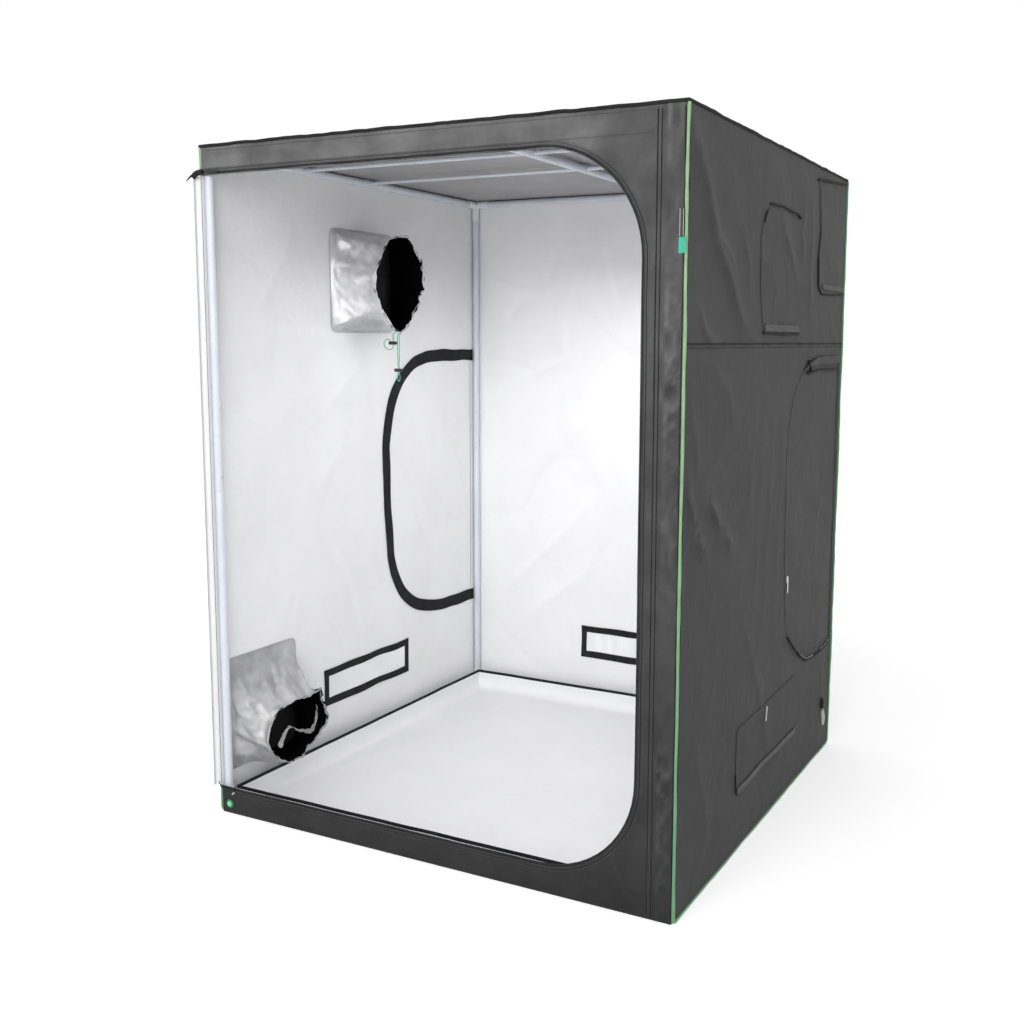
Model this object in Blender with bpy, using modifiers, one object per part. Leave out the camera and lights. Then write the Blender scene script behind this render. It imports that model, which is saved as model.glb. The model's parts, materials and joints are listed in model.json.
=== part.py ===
"""An indoor grow tent: a square frame of push-fit steel poles under a fabric shell.

The door hangs open, folded back round the front left corner. The origin is the
centre of the footprint, on the underside of the groundsheet. +X is the right-hand
side, the doorway faces -Y and +Z is up. All lengths are in metres.
"""

import math

import bmesh
import bpy
from mathutils import Matrix, Vector

# Overall size, across the outer faces of the fabric
WIDTH = 1.5
DEPTH = 1.5
HEIGHT = 2.0

# Stock thicknesses and clearances
FABRIC = 0.002
GAP = 0.0003
OVERRUN = 0.002

# Steel poles, with sides enough to look round
POLE_RADIUS = 0.0125
POLE_WALL = 0.0012
POLE_SIDES = 16
SPIGOT_LENGTH = 0.08
SWAGE_LENGTH = 0.006
BUTTON_ABOVE_JOINT = 0.04
POST_JOINT_HEIGHT = 1.0

# Snap buttons, each on its spring leaf inside a post
BUTTON_RADIUS = 0.003
BUTTON_PROUD = 0.0025
BUTTON_DOME = 0.001
LEAF_WIDTH = 0.008
LEAF_LENGTH = 0.03
LEAF_THICKNESS = 0.001
LEAF_DEPTH = 0.0025

# Three-way corner fittings
FITTING_HALF = 0.015
FITTING_BALL = 0.0149
LEG_RADIUS = 0.0145
LEG_LENGTH = 0.06
SOCKET_FLOOR = 0.0162

# Roof poles, which hook over the rails
CENTRE_POLE_X = 0.1
BAR_RADIUS = 0.006
SADDLE_THICKNESS = 0.002
SADDLE_WIDTH = 0.026
SADDLE_OPENING = math.radians(15)
SADDLE_WRAP = math.radians(40)
FRONT_BAR_FROM_FRONT = 0.43
REAR_BAR_FROM_FRONT = 0.77

# Piping on the side walls and binding round the roof
BEAD_RADIUS = 0.0048
BEAD_INSET = 0.0015
BEAD_LIFT = 0.0005

# Doorway, open to the front left corner
HEADER_HEIGHT = 0.085
FOOTER_HEIGHT = 0.083
STILE_WIDTH = 0.112
DOORWAY_RADIUS = 0.27
ZIP_WIDTH = 0.018
ZIP_PROUD = 0.0025
SEAM_FROM_SIDE = 0.07
SEAM_WIDTH = 0.008
SEAM_PROUD = 0.0008
ARC_STEPS = 8

# Door, and the fold of fabric that it swings on
DOOR_THICKNESS = 0.0016
DOOR_CLEARANCE = 0.001
DOOR_STEP = 0.001
HINGE_OFFSET = 0.014
DOOR_START = 0.027
DOOR_BOW_START = 0.054
DOOR_BOW = 0.018
DOOR_FOLD = 0.006
DOOR_BOW_REACH = 0.5
DOOR_FLAT_EDGE = 0.06
DOOR_COLUMNS = 16
DOOR_ROWS = 18
TAPE_THICKNESS = 0.0012
TAPE_LAP = 0.04

# Side walls
HATCH_BOTTOM = 0.39
HATCH_BELOW_ROOF = 0.61
HATCH_WIDTH = 0.58
HATCH_HINGE_INSET = 0.044
HATCH_RADIUS = 0.17
HATCH_CLEARANCE = 0.0005
HATCH_HINGE_GAP = 0.003
HATCH_BAND = 0.046
HATCH_LAP = 0.02
HATCH_STEP = 0.0005

# Vents: a net in a hole in the wall, with a sewn border inside
VENT_WIDTH = 0.505
VENT_HEIGHT = 0.13
VENT_BOTTOM = 0.188
VENT_BORDER = 0.025
VENT_SEAM = 0.01

# Duct socks
SOCK_WALL = 0.0015
SOCK_SIDES = 28
SOCK_RINGS = 6
SOCK_FLANGE = 0.012

# The upper left sock, with a mouth drawn to a leaf by its cord
UPPER_SOCK_WIDTH = 0.355
UPPER_SOCK_HEIGHT = 0.35
UPPER_SOCK_BELOW_ROOF = 0.353
UPPER_SOCK_REACH = 0.163
UPPER_MOUTH_WIDTH = 0.3
UPPER_MOUTH_HEIGHT = 0.336
UPPER_MOUTH_BELOW_ROOF = 0.367
UPPER_MOUTH_BACK = 0.009
UPPER_MOUTH_LEAN = 0.018
UPPER_MOUTH_RIPPLE = 0.004

# The lower left sock, with a mouth that hangs half open
LOWER_SOCK_WIDTH = 0.336
LOWER_SOCK_HEIGHT = 0.304
LOWER_SOCK_FROM_FRONT = 0.23
LOWER_SOCK_ABOVE_FLOOR = 0.3
LOWER_SOCK_REACH = 0.128
LOWER_MOUTH_WIDTH = 0.296
LOWER_MOUTH_HEIGHT = 0.25
LOWER_MOUTH_FROM_FRONT = 0.222
LOWER_MOUTH_ABOVE_FLOOR = 0.247
LOWER_MOUTH_RIPPLE = 0.007

# The two ports of the right wall, with short round mouths
PORT_WIDTH = 0.26
PORT_REACH = 0.11
PORT_MOUTH_WIDTH = 0.124
PORT_MOUTH_DROP = 0.024
PORT_MOUTH_RIPPLE = 0.005
FRONT_PORT_BELOW_ROOF = 0.351
REAR_PORT_BELOW_ROOF = 0.224
REAR_PORT_FROM_BACK = 0.195

# Flaps on the right wall
FLAP_THICKNESS = 0.003
FLAP_RADIUS = 0.02
PORT_FLAP_SIZE = 0.35
VENT_FLAP_WIDTH = 0.61
VENT_FLAP_HEIGHT = 0.205
VENT_FLAP_TOP = 0.375

# Floor tray
TRAY_HEIGHT = 0.078
TRAY_WALL = 0.002
TRAY_HEM_HEIGHT = 0.01
TRAY_HEM_PROUD = 0.001

# Drawcord and cord locks, under the mouth of the upper left sock
CORD_RADIUS = 0.0015
CORD_STEP = 0.006
CORD_HANG = 0.16
LOCK_RADIUS = 0.006
LOCK_LENGTH = 0.026
LOCK_BORE = 0.0038
LOCK_END_WALL = 0.0024
LOCK_SLOT_LENGTH = 0.0122
LOCK_SLOT_WIDTH = 0.0038
PLUNGER_RADIUS = 0.0035
PLUNGER_TRAVEL = 0.0025
PLUNGER_PROUD = 0.006
PLUNGER_SPRING_SPACE = 0.0031
PLUNGER_ROUNDING = 0.0008

# Zip sliders
SLIDER_LENGTH = 0.022
SLIDER_WIDTH = 0.012
SLIDER_HEIGHT = 0.006
SLIDER_ROUNDING = 0.002
SLIDER_TAB_LENGTH = 0.032
SLIDER_TAB_WIDTH = 0.009
SLIDER_TAB_THICKNESS = 0.002
DOOR_SLIDER_FROM_SIDE = 0.03
HATCH_SLIDER_FROM_EDGE = 0.027
HATCH_SLIDER_HEIGHT = 0.717

# Places that follow from the sizes above
LEFT = -WIDTH / 2
RIGHT = WIDTH / 2
FRONT = -DEPTH / 2
BACK = DEPTH / 2
POLE_INSET = FABRIC + GAP + FITTING_HALF
POLE_X = RIGHT - POLE_INSET
POLE_Y = BACK - POLE_INSET
RAIL_TOP_Z = HEIGHT - POLE_INSET
RAIL_BOTTOM_Z = POLE_INSET
POLE_END = SOCKET_FLOOR + GAP
BEAD_X = RIGHT - BEAD_INSET
BEAD_Y = BACK - BEAD_INSET
BEAD_TOP_Z = HEIGHT - BEAD_INSET
BEAD_BOTTOM_Z = BEAD_RADIUS + BEAD_LIFT
PANEL_X = BEAD_X - BEAD_RADIUS - GAP
PANEL_Y = BEAD_Y - BEAD_RADIUS - GAP
WALL_TOP = BEAD_TOP_Z - BEAD_RADIUS - GAP
DOOR_BOTTOM = FOOTER_HEIGHT + DOOR_CLEARANCE
DOOR_TOP = HEIGHT - HEADER_HEIGHT - DOOR_CLEARANCE
HINGE_X = LEFT - HINGE_OFFSET
HINGE_Y = FRONT + FABRIC / 2 - DOOR_STEP - HINGE_OFFSET
DOOR_REACH = RIGHT - STILE_WIDTH - DOOR_CLEARANCE - HINGE_X
HATCH_HINGE_Y = BACK - HATCH_HINGE_INSET
HATCH_HEIGHT = HEIGHT - HATCH_BELOW_ROOF - HATCH_BOTTOM
INNER_LEFT = LEFT + FABRIC
INNER_RIGHT = RIGHT - FABRIC
INNER_BACK = BACK - FABRIC


for old_object in list(bpy.data.objects):
    bpy.data.objects.remove(old_object)

parts = bpy.data.collections.new("grow_tent")
cutters = bpy.data.collections.new("grow_tent_cutters")
bpy.context.scene.collection.children.link(parts)
bpy.context.scene.collection.children.link(cutters)


def material(name, color, roughness, metallic=0.0):
    """A plain Principled finish."""
    made = bpy.data.materials.new(name)
    made.use_nodes = True
    shader = made.node_tree.nodes["Principled BSDF"]
    shader.inputs["Base Color"].default_value = (*color, 1.0)
    shader.inputs["Roughness"].default_value = roughness
    shader.inputs["Metallic"].default_value = metallic
    return made


SHELL = material("charcoal_canvas", (0.075, 0.075, 0.078), 0.75)
LINING = material("white_lining", (0.82, 0.82, 0.83), 0.45)
FOIL = material("silver_foil", (0.72, 0.72, 0.74), 0.3, 0.35)
POLE = material("white_pole", (0.8, 0.82, 0.86), 0.35)
FITTING = material("white_fitting", (0.74, 0.76, 0.8), 0.4)
STEEL = material("button_steel", (0.55, 0.55, 0.56), 0.3, 1.0)
NET = material("vent_net", (0.7, 0.78, 0.84), 0.7)
CORD = material("green_cord", (0.05, 0.45, 0.27), 0.7)
LOCK = material("black_plastic", (0.02, 0.02, 0.022), 0.4)
ZIP = material("black_zip", (0.015, 0.015, 0.017), 0.5)


def place(obj, name, finish, matrix=None):
    """Names an object, gives it its finish and puts it with the parts."""
    obj.name = name
    if matrix is not None:
        obj.matrix_world = matrix
    obj.data.materials.clear()
    obj.data.materials.append(finish)
    if obj.name not in parts.objects:
        parts.objects.link(obj)
    return obj


def as_tool(obj, name):
    """Puts an object away as a cutter or a joined-on shape."""
    obj.name = name
    obj.hide_render = True
    obj.display_type = "WIRE"
    if obj.name in parts.objects:
        parts.objects.unlink(obj)
    if obj.name not in cutters.objects:
        cutters.objects.link(obj)
    return obj


def mesh_object(bm, name="shape"):
    """A loose object that holds a finished bmesh."""
    mesh = bpy.data.meshes.new(name)
    bm.to_mesh(mesh)
    bm.free()
    return bpy.data.objects.new(name, mesh)


def baked(obj, name="shape"):
    """A plain, welded mesh object made from an object with modifiers or a curve."""
    if not obj.users_collection:
        cutters.objects.link(obj)
    bpy.context.view_layer.update()
    evaluated = obj.evaluated_get(bpy.context.evaluated_depsgraph_get())
    mesh = bpy.data.meshes.new_from_object(evaluated)
    bm = bmesh.new()
    bm.from_mesh(mesh)
    bmesh.ops.remove_doubles(bm, verts=bm.verts, dist=0.00001)
    bmesh.ops.recalc_face_normals(bm, faces=bm.faces)
    bm.to_mesh(mesh)
    bm.free()
    made = bpy.data.objects.new(name, mesh)
    made.matrix_world = obj.matrix_world.copy()
    bpy.data.objects.remove(obj)
    return made


def combine(target, tool, operation):
    """Adds a live Boolean of a tool to a target."""
    as_tool(tool, f"{target.name}_{operation.lower()}_{len(target.modifiers)}")
    modifier = target.modifiers.new(operation.lower(), "BOOLEAN")
    modifier.operation = operation
    modifier.solver = "EXACT"
    modifier.object = tool
    return target


def arc(centre, radius, start, end, steps):
    """Points along an arc, ends included; angles in degrees, counter-clockwise."""
    points = []
    for step in range(steps + 1):
        angle = math.radians(start + (end - start) * step / steps)
        across = centre[0] + radius * math.cos(angle)
        up = centre[1] + radius * math.sin(angle)
        points.append((across, up))
    return points


def rectangle(low, high):
    """A rectangular outline."""
    return [low, (high[0], low[1]), high, (low[0], high[1])]


def rounded_rectangle(low, high, radius, steps=ARC_STEPS // 2):
    """A rectangular outline with round corners."""
    right, left = high[0] - radius, low[0] + radius
    top, bottom = high[1] - radius, low[1] + radius
    points = arc((right, top), radius, 0, 90, steps)
    points += arc((left, top), radius, 90, 180, steps)
    points += arc((left, bottom), radius, 180, 270, steps)
    points += arc((right, bottom), radius, 270, 360, steps)
    return points


def frame_matrix(across, up, out, corner):
    """A matrix whose axes are the given directions, with its origin at a corner."""
    matrix = Matrix((across, up, out)).transposed().to_4x4()
    matrix.translation = corner
    return matrix


X, Y, Z = Vector((1, 0, 0)), Vector((0, 1, 0)), Vector((0, 0, 1))


def facing_y(y):
    """A plane square to Y: outlines are drawn in X and Z."""
    return frame_matrix(X, Z, -Y, Vector((0, y, 0)))


def facing_x(x):
    """A plane square to X: outlines are drawn in Y and Z."""
    return frame_matrix(Y, Z, X, Vector((x, 0, 0)))


def facing_z(z):
    """A plane square to Z: outlines are drawn in X and Y."""
    return Matrix.Translation((0, 0, z))


def plate(outlines, thickness, matrix):
    """A flat piece cut to its outlines, holes included, about a middle plane."""
    curve = bpy.data.curves.new("outline", "CURVE")
    curve.dimensions = "2D"
    curve.fill_mode = "BOTH"
    curve.extrude = thickness / 2
    for outline in outlines:
        spline = curve.splines.new("POLY")
        spline.points.add(len(outline) - 1)
        for point, (across, up) in zip(spline.points, outline):
            point.co = (across, up, 0, 1)
        spline.use_cyclic_u = True
    obj = bpy.data.objects.new("outline", curve)
    obj.matrix_world = matrix
    return baked(obj)


def turned(profile, sides=POLE_SIDES):
    """A closed profile of radius and height, turned about Z."""
    bm = bmesh.new()
    corners = [bm.verts.new((radius, 0, height)) for radius, height in profile]
    for first, second in zip(corners, corners[1:] + corners[:1]):
        bm.edges.new((first, second))
    obj = mesh_object(bm)
    screw = obj.modifiers.new("turn", "SCREW")
    screw.steps = sides
    screw.render_steps = sides
    screw.use_merge_vertices = True
    screw.merge_threshold = 0.00001
    return obj


def rod(radius, start, end, sides=POLE_SIDES):
    """A solid cylinder between two points on a line."""
    start, end = Vector(start), Vector(end)
    bm = bmesh.new()
    length = (end - start).length
    bmesh.ops.create_cone(
        bm, cap_ends=True, segments=sides, radius1=radius, radius2=radius, depth=length
    )
    turn = (end - start).to_track_quat("Z", "Y").to_matrix().to_4x4()
    matrix = Matrix.Translation((start + end) / 2) @ turn
    bmesh.ops.transform(bm, matrix=matrix, verts=bm.verts)
    return mesh_object(bm)


def block(low, high, rounding=0.0, segments=2):
    """A box between two corners, with its edges rounded."""
    low, high = Vector(low), Vector(high)
    bm = bmesh.new()
    bmesh.ops.create_cube(bm, size=1)
    bmesh.ops.scale(bm, vec=high - low, verts=bm.verts)
    bmesh.ops.translate(bm, vec=(low + high) / 2, verts=bm.verts)
    if rounding > 0:
        bmesh.ops.bevel(
            bm,
            geom=bm.edges,
            offset=rounding,
            segments=segments,
            profile=0.5,
            affect="EDGES",
        )
    return mesh_object(bm)


def wire(points, radius, closed=False, resolution=2):
    """A round wire through points."""
    curve = bpy.data.curves.new("wire", "CURVE")
    curve.dimensions = "3D"
    curve.bevel_depth = radius
    curve.bevel_resolution = resolution
    curve.use_fill_caps = not closed
    spline = curve.splines.new("POLY")
    spline.points.add(len(points) - 1)
    for point, co in zip(spline.points, points):
        point.co = (*co, 1)
    spline.use_cyclic_u = closed
    return baked(bpy.data.objects.new("wire", curve))


def cloth(rows, thickness, closed=False):
    """A sheet through rows of points, given its thickness."""
    bm = bmesh.new()
    grid = [[bm.verts.new(point) for point in row] for row in rows]
    count = len(rows[0])
    columns = count if closed else count - 1
    for lower, upper in zip(grid, grid[1:]):
        for i in range(columns):
            j = (i + 1) % count
            bm.faces.new((lower[i], lower[j], upper[j], upper[i]))
    obj = mesh_object(bm)
    wall = obj.modifiers.new("thickness", "SOLIDIFY")
    wall.thickness = thickness
    wall.offset = 0
    return obj


# Posts: a lower half with a swaged spigot, and an upper half that drops over it
def post_halves():
    """Both halves of each post, with the hole for its snap button."""
    inner = POLE_RADIUS - POLE_WALL
    spigot = inner - GAP
    spigot_bore = spigot - POLE_WALL
    low = RAIL_BOTTOM_Z + POLE_END
    high = RAIL_TOP_Z - POLE_END
    joint = POST_JOINT_HEIGHT
    top = joint + SPIGOT_LENGTH
    lower_profile = [
        (spigot, top),
        (spigot, joint),
        (POLE_RADIUS, joint - GAP),
        (POLE_RADIUS, low),
        (inner, low),
        (inner, joint - SWAGE_LENGTH),
        (spigot_bore, joint),
        (spigot_bore, top),
    ]
    upper_profile = [
        (POLE_RADIUS, high),
        (POLE_RADIUS, joint),
        (inner, joint),
        (inner, high),
    ]
    hole_z = joint + BUTTON_ABOVE_JOINT
    for side, sx in (("left", -1), ("right", 1)):
        for end, sy in (("front", -1), ("back", 1)):
            for half, profile in (("lower", lower_profile), ("upper", upper_profile)):
                post = turned(profile)
                place(post, f"post_{end}_{side}_{half}", POLE)
                post.location = (sx * POLE_X, sy * POLE_Y, 0)
                inward = Vector((-sx * (POLE_RADIUS + OVERRUN), 0, 0))
                centre = Vector((sx * POLE_X, sy * POLE_Y, hole_z))
                hole = rod(BUTTON_RADIUS + GAP, centre, centre + inward)
                combine(post, hole, "DIFFERENCE")


def snap_buttons():
    """A domed pin on a spring leaf, pointing into the tent from each post."""
    z = POST_JOINT_HEIGHT + BUTTON_ABOVE_JOINT
    bore = POLE_RADIUS - POLE_WALL - GAP - POLE_WALL
    leaf_face = bore - LEAF_DEPTH
    tip = POLE_RADIUS + BUTTON_PROUD
    profile = [
        (0, tip),
        (BUTTON_RADIUS - BUTTON_DOME, tip),
        (BUTTON_RADIUS, tip - BUTTON_DOME),
        (BUTTON_RADIUS, leaf_face - LEAF_THICKNESS / 2),
        (0, leaf_face - LEAF_THICKNESS / 2),
    ]
    for side, sx in (("left", -1), ("right", 1)):
        for end, sy in (("front", -1), ("back", 1)):
            button = baked(turned(profile, POLE_SIDES - 4))
            out = Vector((-sx, 0, 0))
            centre = Vector((sx * POLE_X, sy * POLE_Y, z))
            matrix = frame_matrix(Y, out.cross(Y), out, centre)
            button.data.transform(matrix)
            place(button, f"snap_button_{end}_{side}", STEEL)
            near = centre + out * (leaf_face - LEAF_THICKNESS)
            far = centre + out * leaf_face
            half = Vector((0, LEAF_WIDTH / 2, LEAF_LENGTH / 2))
            low = Vector(map(min, near - half, far - half))
            high = Vector(map(max, near + half, far + half))
            combine(button, block(low, high), "UNION")


def corner_mesh():
    """One three-way fitting: a rounded elbow with a socket along each axis."""
    bm = bmesh.new()
    bmesh.ops.create_uvsphere(
        bm, u_segments=POLE_SIDES, v_segments=POLE_SIDES // 2, radius=FITTING_BALL
    )
    fitting = mesh_object(bm)
    cutters.objects.link(fitting)
    for axis in (X, Y, Z):
        combine(fitting, rod(LEG_RADIUS, (0, 0, 0), axis * LEG_LENGTH), "UNION")
    for axis in (X, Y, Z):
        start = axis * SOCKET_FLOOR
        end = axis * (LEG_LENGTH + OVERRUN)
        combine(fitting, rod(POLE_RADIUS + GAP, start, end), "DIFFERENCE")
    return baked(fitting).data


def corner_fittings():
    """The eight corners, each a mirror image of the first."""
    first = corner_mesh()
    for side, sx in (("left", 1), ("right", -1)):
        for end, sy in (("front", 1), ("back", -1)):
            for level, sz in (("bottom", 1), ("top", -1)):
                bm = bmesh.new()
                bm.from_mesh(first)
                bmesh.ops.scale(bm, vec=(sx, sy, sz), verts=bm.verts)
                if sx * sy * sz < 0:
                    bmesh.ops.reverse_faces(bm, faces=bm.faces)
                fitting = mesh_object(bm)
                place(fitting, f"corner_{level}_{end}_{side}", FITTING)
                z = RAIL_BOTTOM_Z if sz > 0 else RAIL_TOP_Z
                fitting.location = (-sx * POLE_X, -sy * POLE_Y, z)


def rails():
    """The square of poles at the top and the one at the bottom."""
    inner = POLE_RADIUS - POLE_WALL
    along_x = Matrix.Rotation(math.pi / 2, 4, "Y")
    along_y = Matrix.Rotation(-math.pi / 2, 4, "X")
    for level, z in (("top", RAIL_TOP_Z), ("bottom", RAIL_BOTTOM_Z)):
        for end, turn, half, spot in (
            ("front", along_x, POLE_X - POLE_END, (0, -POLE_Y, z)),
            ("back", along_x, POLE_X - POLE_END, (0, POLE_Y, z)),
            ("left", along_y, POLE_Y - POLE_END, (-POLE_X, 0, z)),
            ("right", along_y, POLE_Y - POLE_END, (POLE_X, 0, z)),
        ):
            profile = [
                (POLE_RADIUS, half),
                (POLE_RADIUS, -half),
                (inner, -half),
                (inner, half),
            ]
            matrix = Matrix.Translation(spot) @ turn
            place(turned(profile), f"{level}_rail_{end}", POLE, matrix)


def saddle(centre, start, end, matrix):
    """A curved strap over a pole; angles are measured from the strap's own side."""
    inside = POLE_RADIUS + GAP
    steps = ARC_STEPS * 2
    outer = arc(centre, inside + SADDLE_THICKNESS, start, end, steps)
    outline = outer + arc(centre, inside, end, start, steps)
    return plate([outline], SADDLE_WIDTH, matrix)


def roof_poles():
    """The centre pole and the two cross bars, hooked over what carries them."""
    reach = POLE_RADIUS + GAP + SADDLE_THICKNESS / 2
    down = math.degrees(SADDLE_OPENING)
    over = 90 + math.degrees(SADDLE_WRAP)
    along_y = frame_matrix(Y, Z, X, Vector((CENTRE_POLE_X, 0, RAIL_TOP_Z)))
    end = Vector((CENTRE_POLE_X, POLE_Y - reach, RAIL_TOP_Z))
    start = Vector((CENTRE_POLE_X, -POLE_Y + reach, RAIL_TOP_Z))
    centre_pole = rod(POLE_RADIUS, start, end)
    place(centre_pole, "centre_pole", POLE)
    hook = saddle((-POLE_Y, 0), -down, over, along_y)
    combine(centre_pole, hook, "UNION")
    hook = saddle((POLE_Y, 0), 180 - over, 180 + down, along_y)
    combine(centre_pole, hook, "UNION")
    for name, from_front in (
        ("cross_bar_front", FRONT_BAR_FROM_FRONT),
        ("cross_bar_rear", REAR_BAR_FROM_FRONT),
    ):
        y = FRONT + from_front
        across = frame_matrix(X, Z, -Y, Vector((0, y, RAIL_TOP_Z)))
        spans = (
            (-POLE_X + reach, CENTRE_POLE_X - reach),
            (CENTRE_POLE_X + reach, POLE_X - reach),
        )
        left, right = (
            rod(BAR_RADIUS, (first, y, RAIL_TOP_Z), (last, y, RAIL_TOP_Z), 12)
            for first, last in spans
        )
        place(left, name, POLE)
        combine(left, saddle((-POLE_X, 0), -down, over, across), "UNION")
        bridge = saddle((CENTRE_POLE_X, 0), -down, 180 + down, across)
        combine(left, bridge, "UNION")
        combine(left, right, "UNION")
        hook = saddle((POLE_X, 0), 180 - over, 180 + down, across)
        combine(left, hook, "UNION")


def doorway_edge(grow):
    """The doorway's edge from the bottom left to the top left, grown outwards."""
    right = RIGHT - STILE_WIDTH + grow
    bottom = FOOTER_HEIGHT - grow
    top = HEIGHT - HEADER_HEIGHT + grow
    radius = DOORWAY_RADIUS + grow
    points = [(-PANEL_X, bottom)]
    points += arc((right - radius, bottom + radius), radius, 270, 360, ARC_STEPS)
    points += arc((right - radius, top - radius), radius, 0, 90, ARC_STEPS)
    points.append((-PANEL_X, top))
    return points


def front_panel():
    """The C-shaped front: header, stile and footer, with its zip and its seam."""
    edge = doorway_edge(0)
    outline = [(-PANEL_X, WALL_TOP)] + edge[::-1]
    outline += [(-PANEL_X, BEAD_LIFT), (PANEL_X, BEAD_LIFT), (PANEL_X, WALL_TOP)]
    panel = plate([outline], FABRIC, facing_y(FRONT + FABRIC / 2))
    place(panel, "front_panel", SHELL)
    band = edge + doorway_edge(ZIP_WIDTH)[::-1]
    depth = ZIP_PROUD + FABRIC / 2
    tape = plate([band], depth, facing_y(FRONT - ZIP_PROUD + depth / 2))
    combine(panel, tape, "UNION")
    seam_x = RIGHT - SEAM_FROM_SIDE
    low = (seam_x - SEAM_WIDTH / 2, BEAD_LIFT + SEAM_WIDTH)
    high = (seam_x + SEAM_WIDTH / 2, WALL_TOP - SEAM_WIDTH)
    depth = SEAM_PROUD + FABRIC / 2
    seam = plate([rectangle(low, high)], depth, facing_y(FRONT - SEAM_PROUD + depth / 2))
    combine(panel, seam, "UNION")


def vent_hole(centre):
    """The outline cut for a vent's net."""
    half = VENT_WIDTH / 2 - VENT_BORDER + VENT_SEAM
    low = VENT_BOTTOM + VENT_BORDER - VENT_SEAM
    high = VENT_BOTTOM + VENT_HEIGHT - VENT_BORDER + VENT_SEAM
    return rectangle((centre - half, low), (centre + half, high))


def vent(name, centre, inner_face, inward, facing):
    """A net in its hole, and the border sewn over its edge inside the tent."""
    low, _, high, _ = vent_hole(centre)
    low = (low[0] + GAP, low[1] + GAP)
    high = (high[0] - GAP, high[1] - GAP)
    depth = FABRIC + GAP + FABRIC / 2
    middle = inner_face + inward * (depth / 2 - FABRIC)
    net = plate([rectangle(low, high)], depth, facing(middle))
    place(net, name, NET)
    half = VENT_WIDTH / 2
    top = VENT_BOTTOM + VENT_HEIGHT
    outer = rectangle((centre - half, VENT_BOTTOM), (centre + half, top))
    inside_low = (centre - half + VENT_BORDER, VENT_BOTTOM + VENT_BORDER)
    inside_high = (centre + half - VENT_BORDER, top - VENT_BORDER)
    border_face = inner_face + inward * (GAP + FABRIC / 2)
    opening = rectangle(inside_low, inside_high)
    border = plate([outer, opening], FABRIC, facing(border_face))
    combine(net, border, "UNION")


# Each sock: where it leaves the wall and how big it is there, then the same of its mouth,
# how far the mouth stands out, and how much it slants, leans, draws in and ripples
PORT_ROOT_HALF = (PORT_WIDTH / 2, PORT_WIDTH / 2)
PORT_MOUTH_HALF = (PORT_MOUTH_WIDTH / 2, PORT_MOUTH_WIDTH / 2)
FRONT_PORT = (0.0, HEIGHT - FRONT_PORT_BELOW_ROOF)
REAR_PORT = (BACK - REAR_PORT_FROM_BACK, HEIGHT - REAR_PORT_BELOW_ROOF)
SOCKS = {
    "sock_left_upper": {
        "side": -1,
        "root": (0.0, HEIGHT - UPPER_SOCK_BELOW_ROOF),
        "root_half": (UPPER_SOCK_WIDTH / 2, UPPER_SOCK_HEIGHT / 2),
        "mouth": (UPPER_MOUTH_BACK, HEIGHT - UPPER_MOUTH_BELOW_ROOF),
        "mouth_half": (UPPER_MOUTH_WIDTH / 2, UPPER_MOUTH_HEIGHT / 2),
        "reach": UPPER_SOCK_REACH,
        "slant_share": 0.0,
        "leaf_share": 1.0,
        "lean": UPPER_MOUTH_LEAN,
        "ripple": UPPER_MOUTH_RIPPLE,
    },
    "sock_left_lower": {
        "side": -1,
        "root": (FRONT + LOWER_SOCK_FROM_FRONT, LOWER_SOCK_ABOVE_FLOOR),
        "root_half": (LOWER_SOCK_WIDTH / 2, LOWER_SOCK_HEIGHT / 2),
        "mouth": (FRONT + LOWER_MOUTH_FROM_FRONT, LOWER_MOUTH_ABOVE_FLOOR),
        "mouth_half": (LOWER_MOUTH_WIDTH / 2, LOWER_MOUTH_HEIGHT / 2),
        "reach": LOWER_SOCK_REACH,
        "slant_share": -0.16,
        "leaf_share": 0.45,
        "lean": 0.0,
        "ripple": LOWER_MOUTH_RIPPLE,
    },
    "sock_right_front": {
        "side": 1,
        "root": FRONT_PORT,
        "root_half": PORT_ROOT_HALF,
        "mouth": (FRONT_PORT[0], FRONT_PORT[1] - PORT_MOUTH_DROP),
        "mouth_half": PORT_MOUTH_HALF,
        "reach": PORT_REACH,
        "slant_share": 0.0,
        "leaf_share": 0.0,
        "lean": 0.0,
        "ripple": PORT_MOUTH_RIPPLE,
    },
    "sock_right_rear": {
        "side": 1,
        "root": REAR_PORT,
        "root_half": PORT_ROOT_HALF,
        "mouth": (REAR_PORT[0], REAR_PORT[1] - PORT_MOUTH_DROP),
        "mouth_half": PORT_MOUTH_HALF,
        "reach": PORT_REACH,
        "slant_share": 0.0,
        "leaf_share": 0.0,
        "lean": 0.0,
        "ripple": PORT_MOUTH_RIPPLE,
    },
}


def squarish(angle, half):
    """A point on a rounded square about the origin."""
    across = math.copysign(abs(math.cos(angle)) ** 0.42, math.cos(angle))
    up = math.copysign(abs(math.sin(angle)) ** 0.42, math.sin(angle))
    return Vector((half[0] * across, half[1] * up))


def leafed(angle, half, pointed):
    """A point on an oval that is drawn to a point at its top and bottom."""
    up = math.sin(angle)
    oval = abs(math.cos(angle))
    leaf = 1 - abs(up) ** 1.7
    across = oval * (1 - pointed) + leaf * pointed
    return Vector((math.copysign(half[0] * across, math.cos(angle)), half[1] * up))


def sock_hole(name):
    """The hole that a sock covers, a little inside its sewn edge."""
    sock = SOCKS[name]
    half = [size - SOCK_FLANGE - SOCK_WALL for size in sock["root_half"]]
    points = []
    for i in range(SOCK_SIDES):
        point = squarish(2 * math.pi * i / SOCK_SIDES, half) + Vector(sock["root"])
        points.append((point.x, point.y))
    return points


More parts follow.
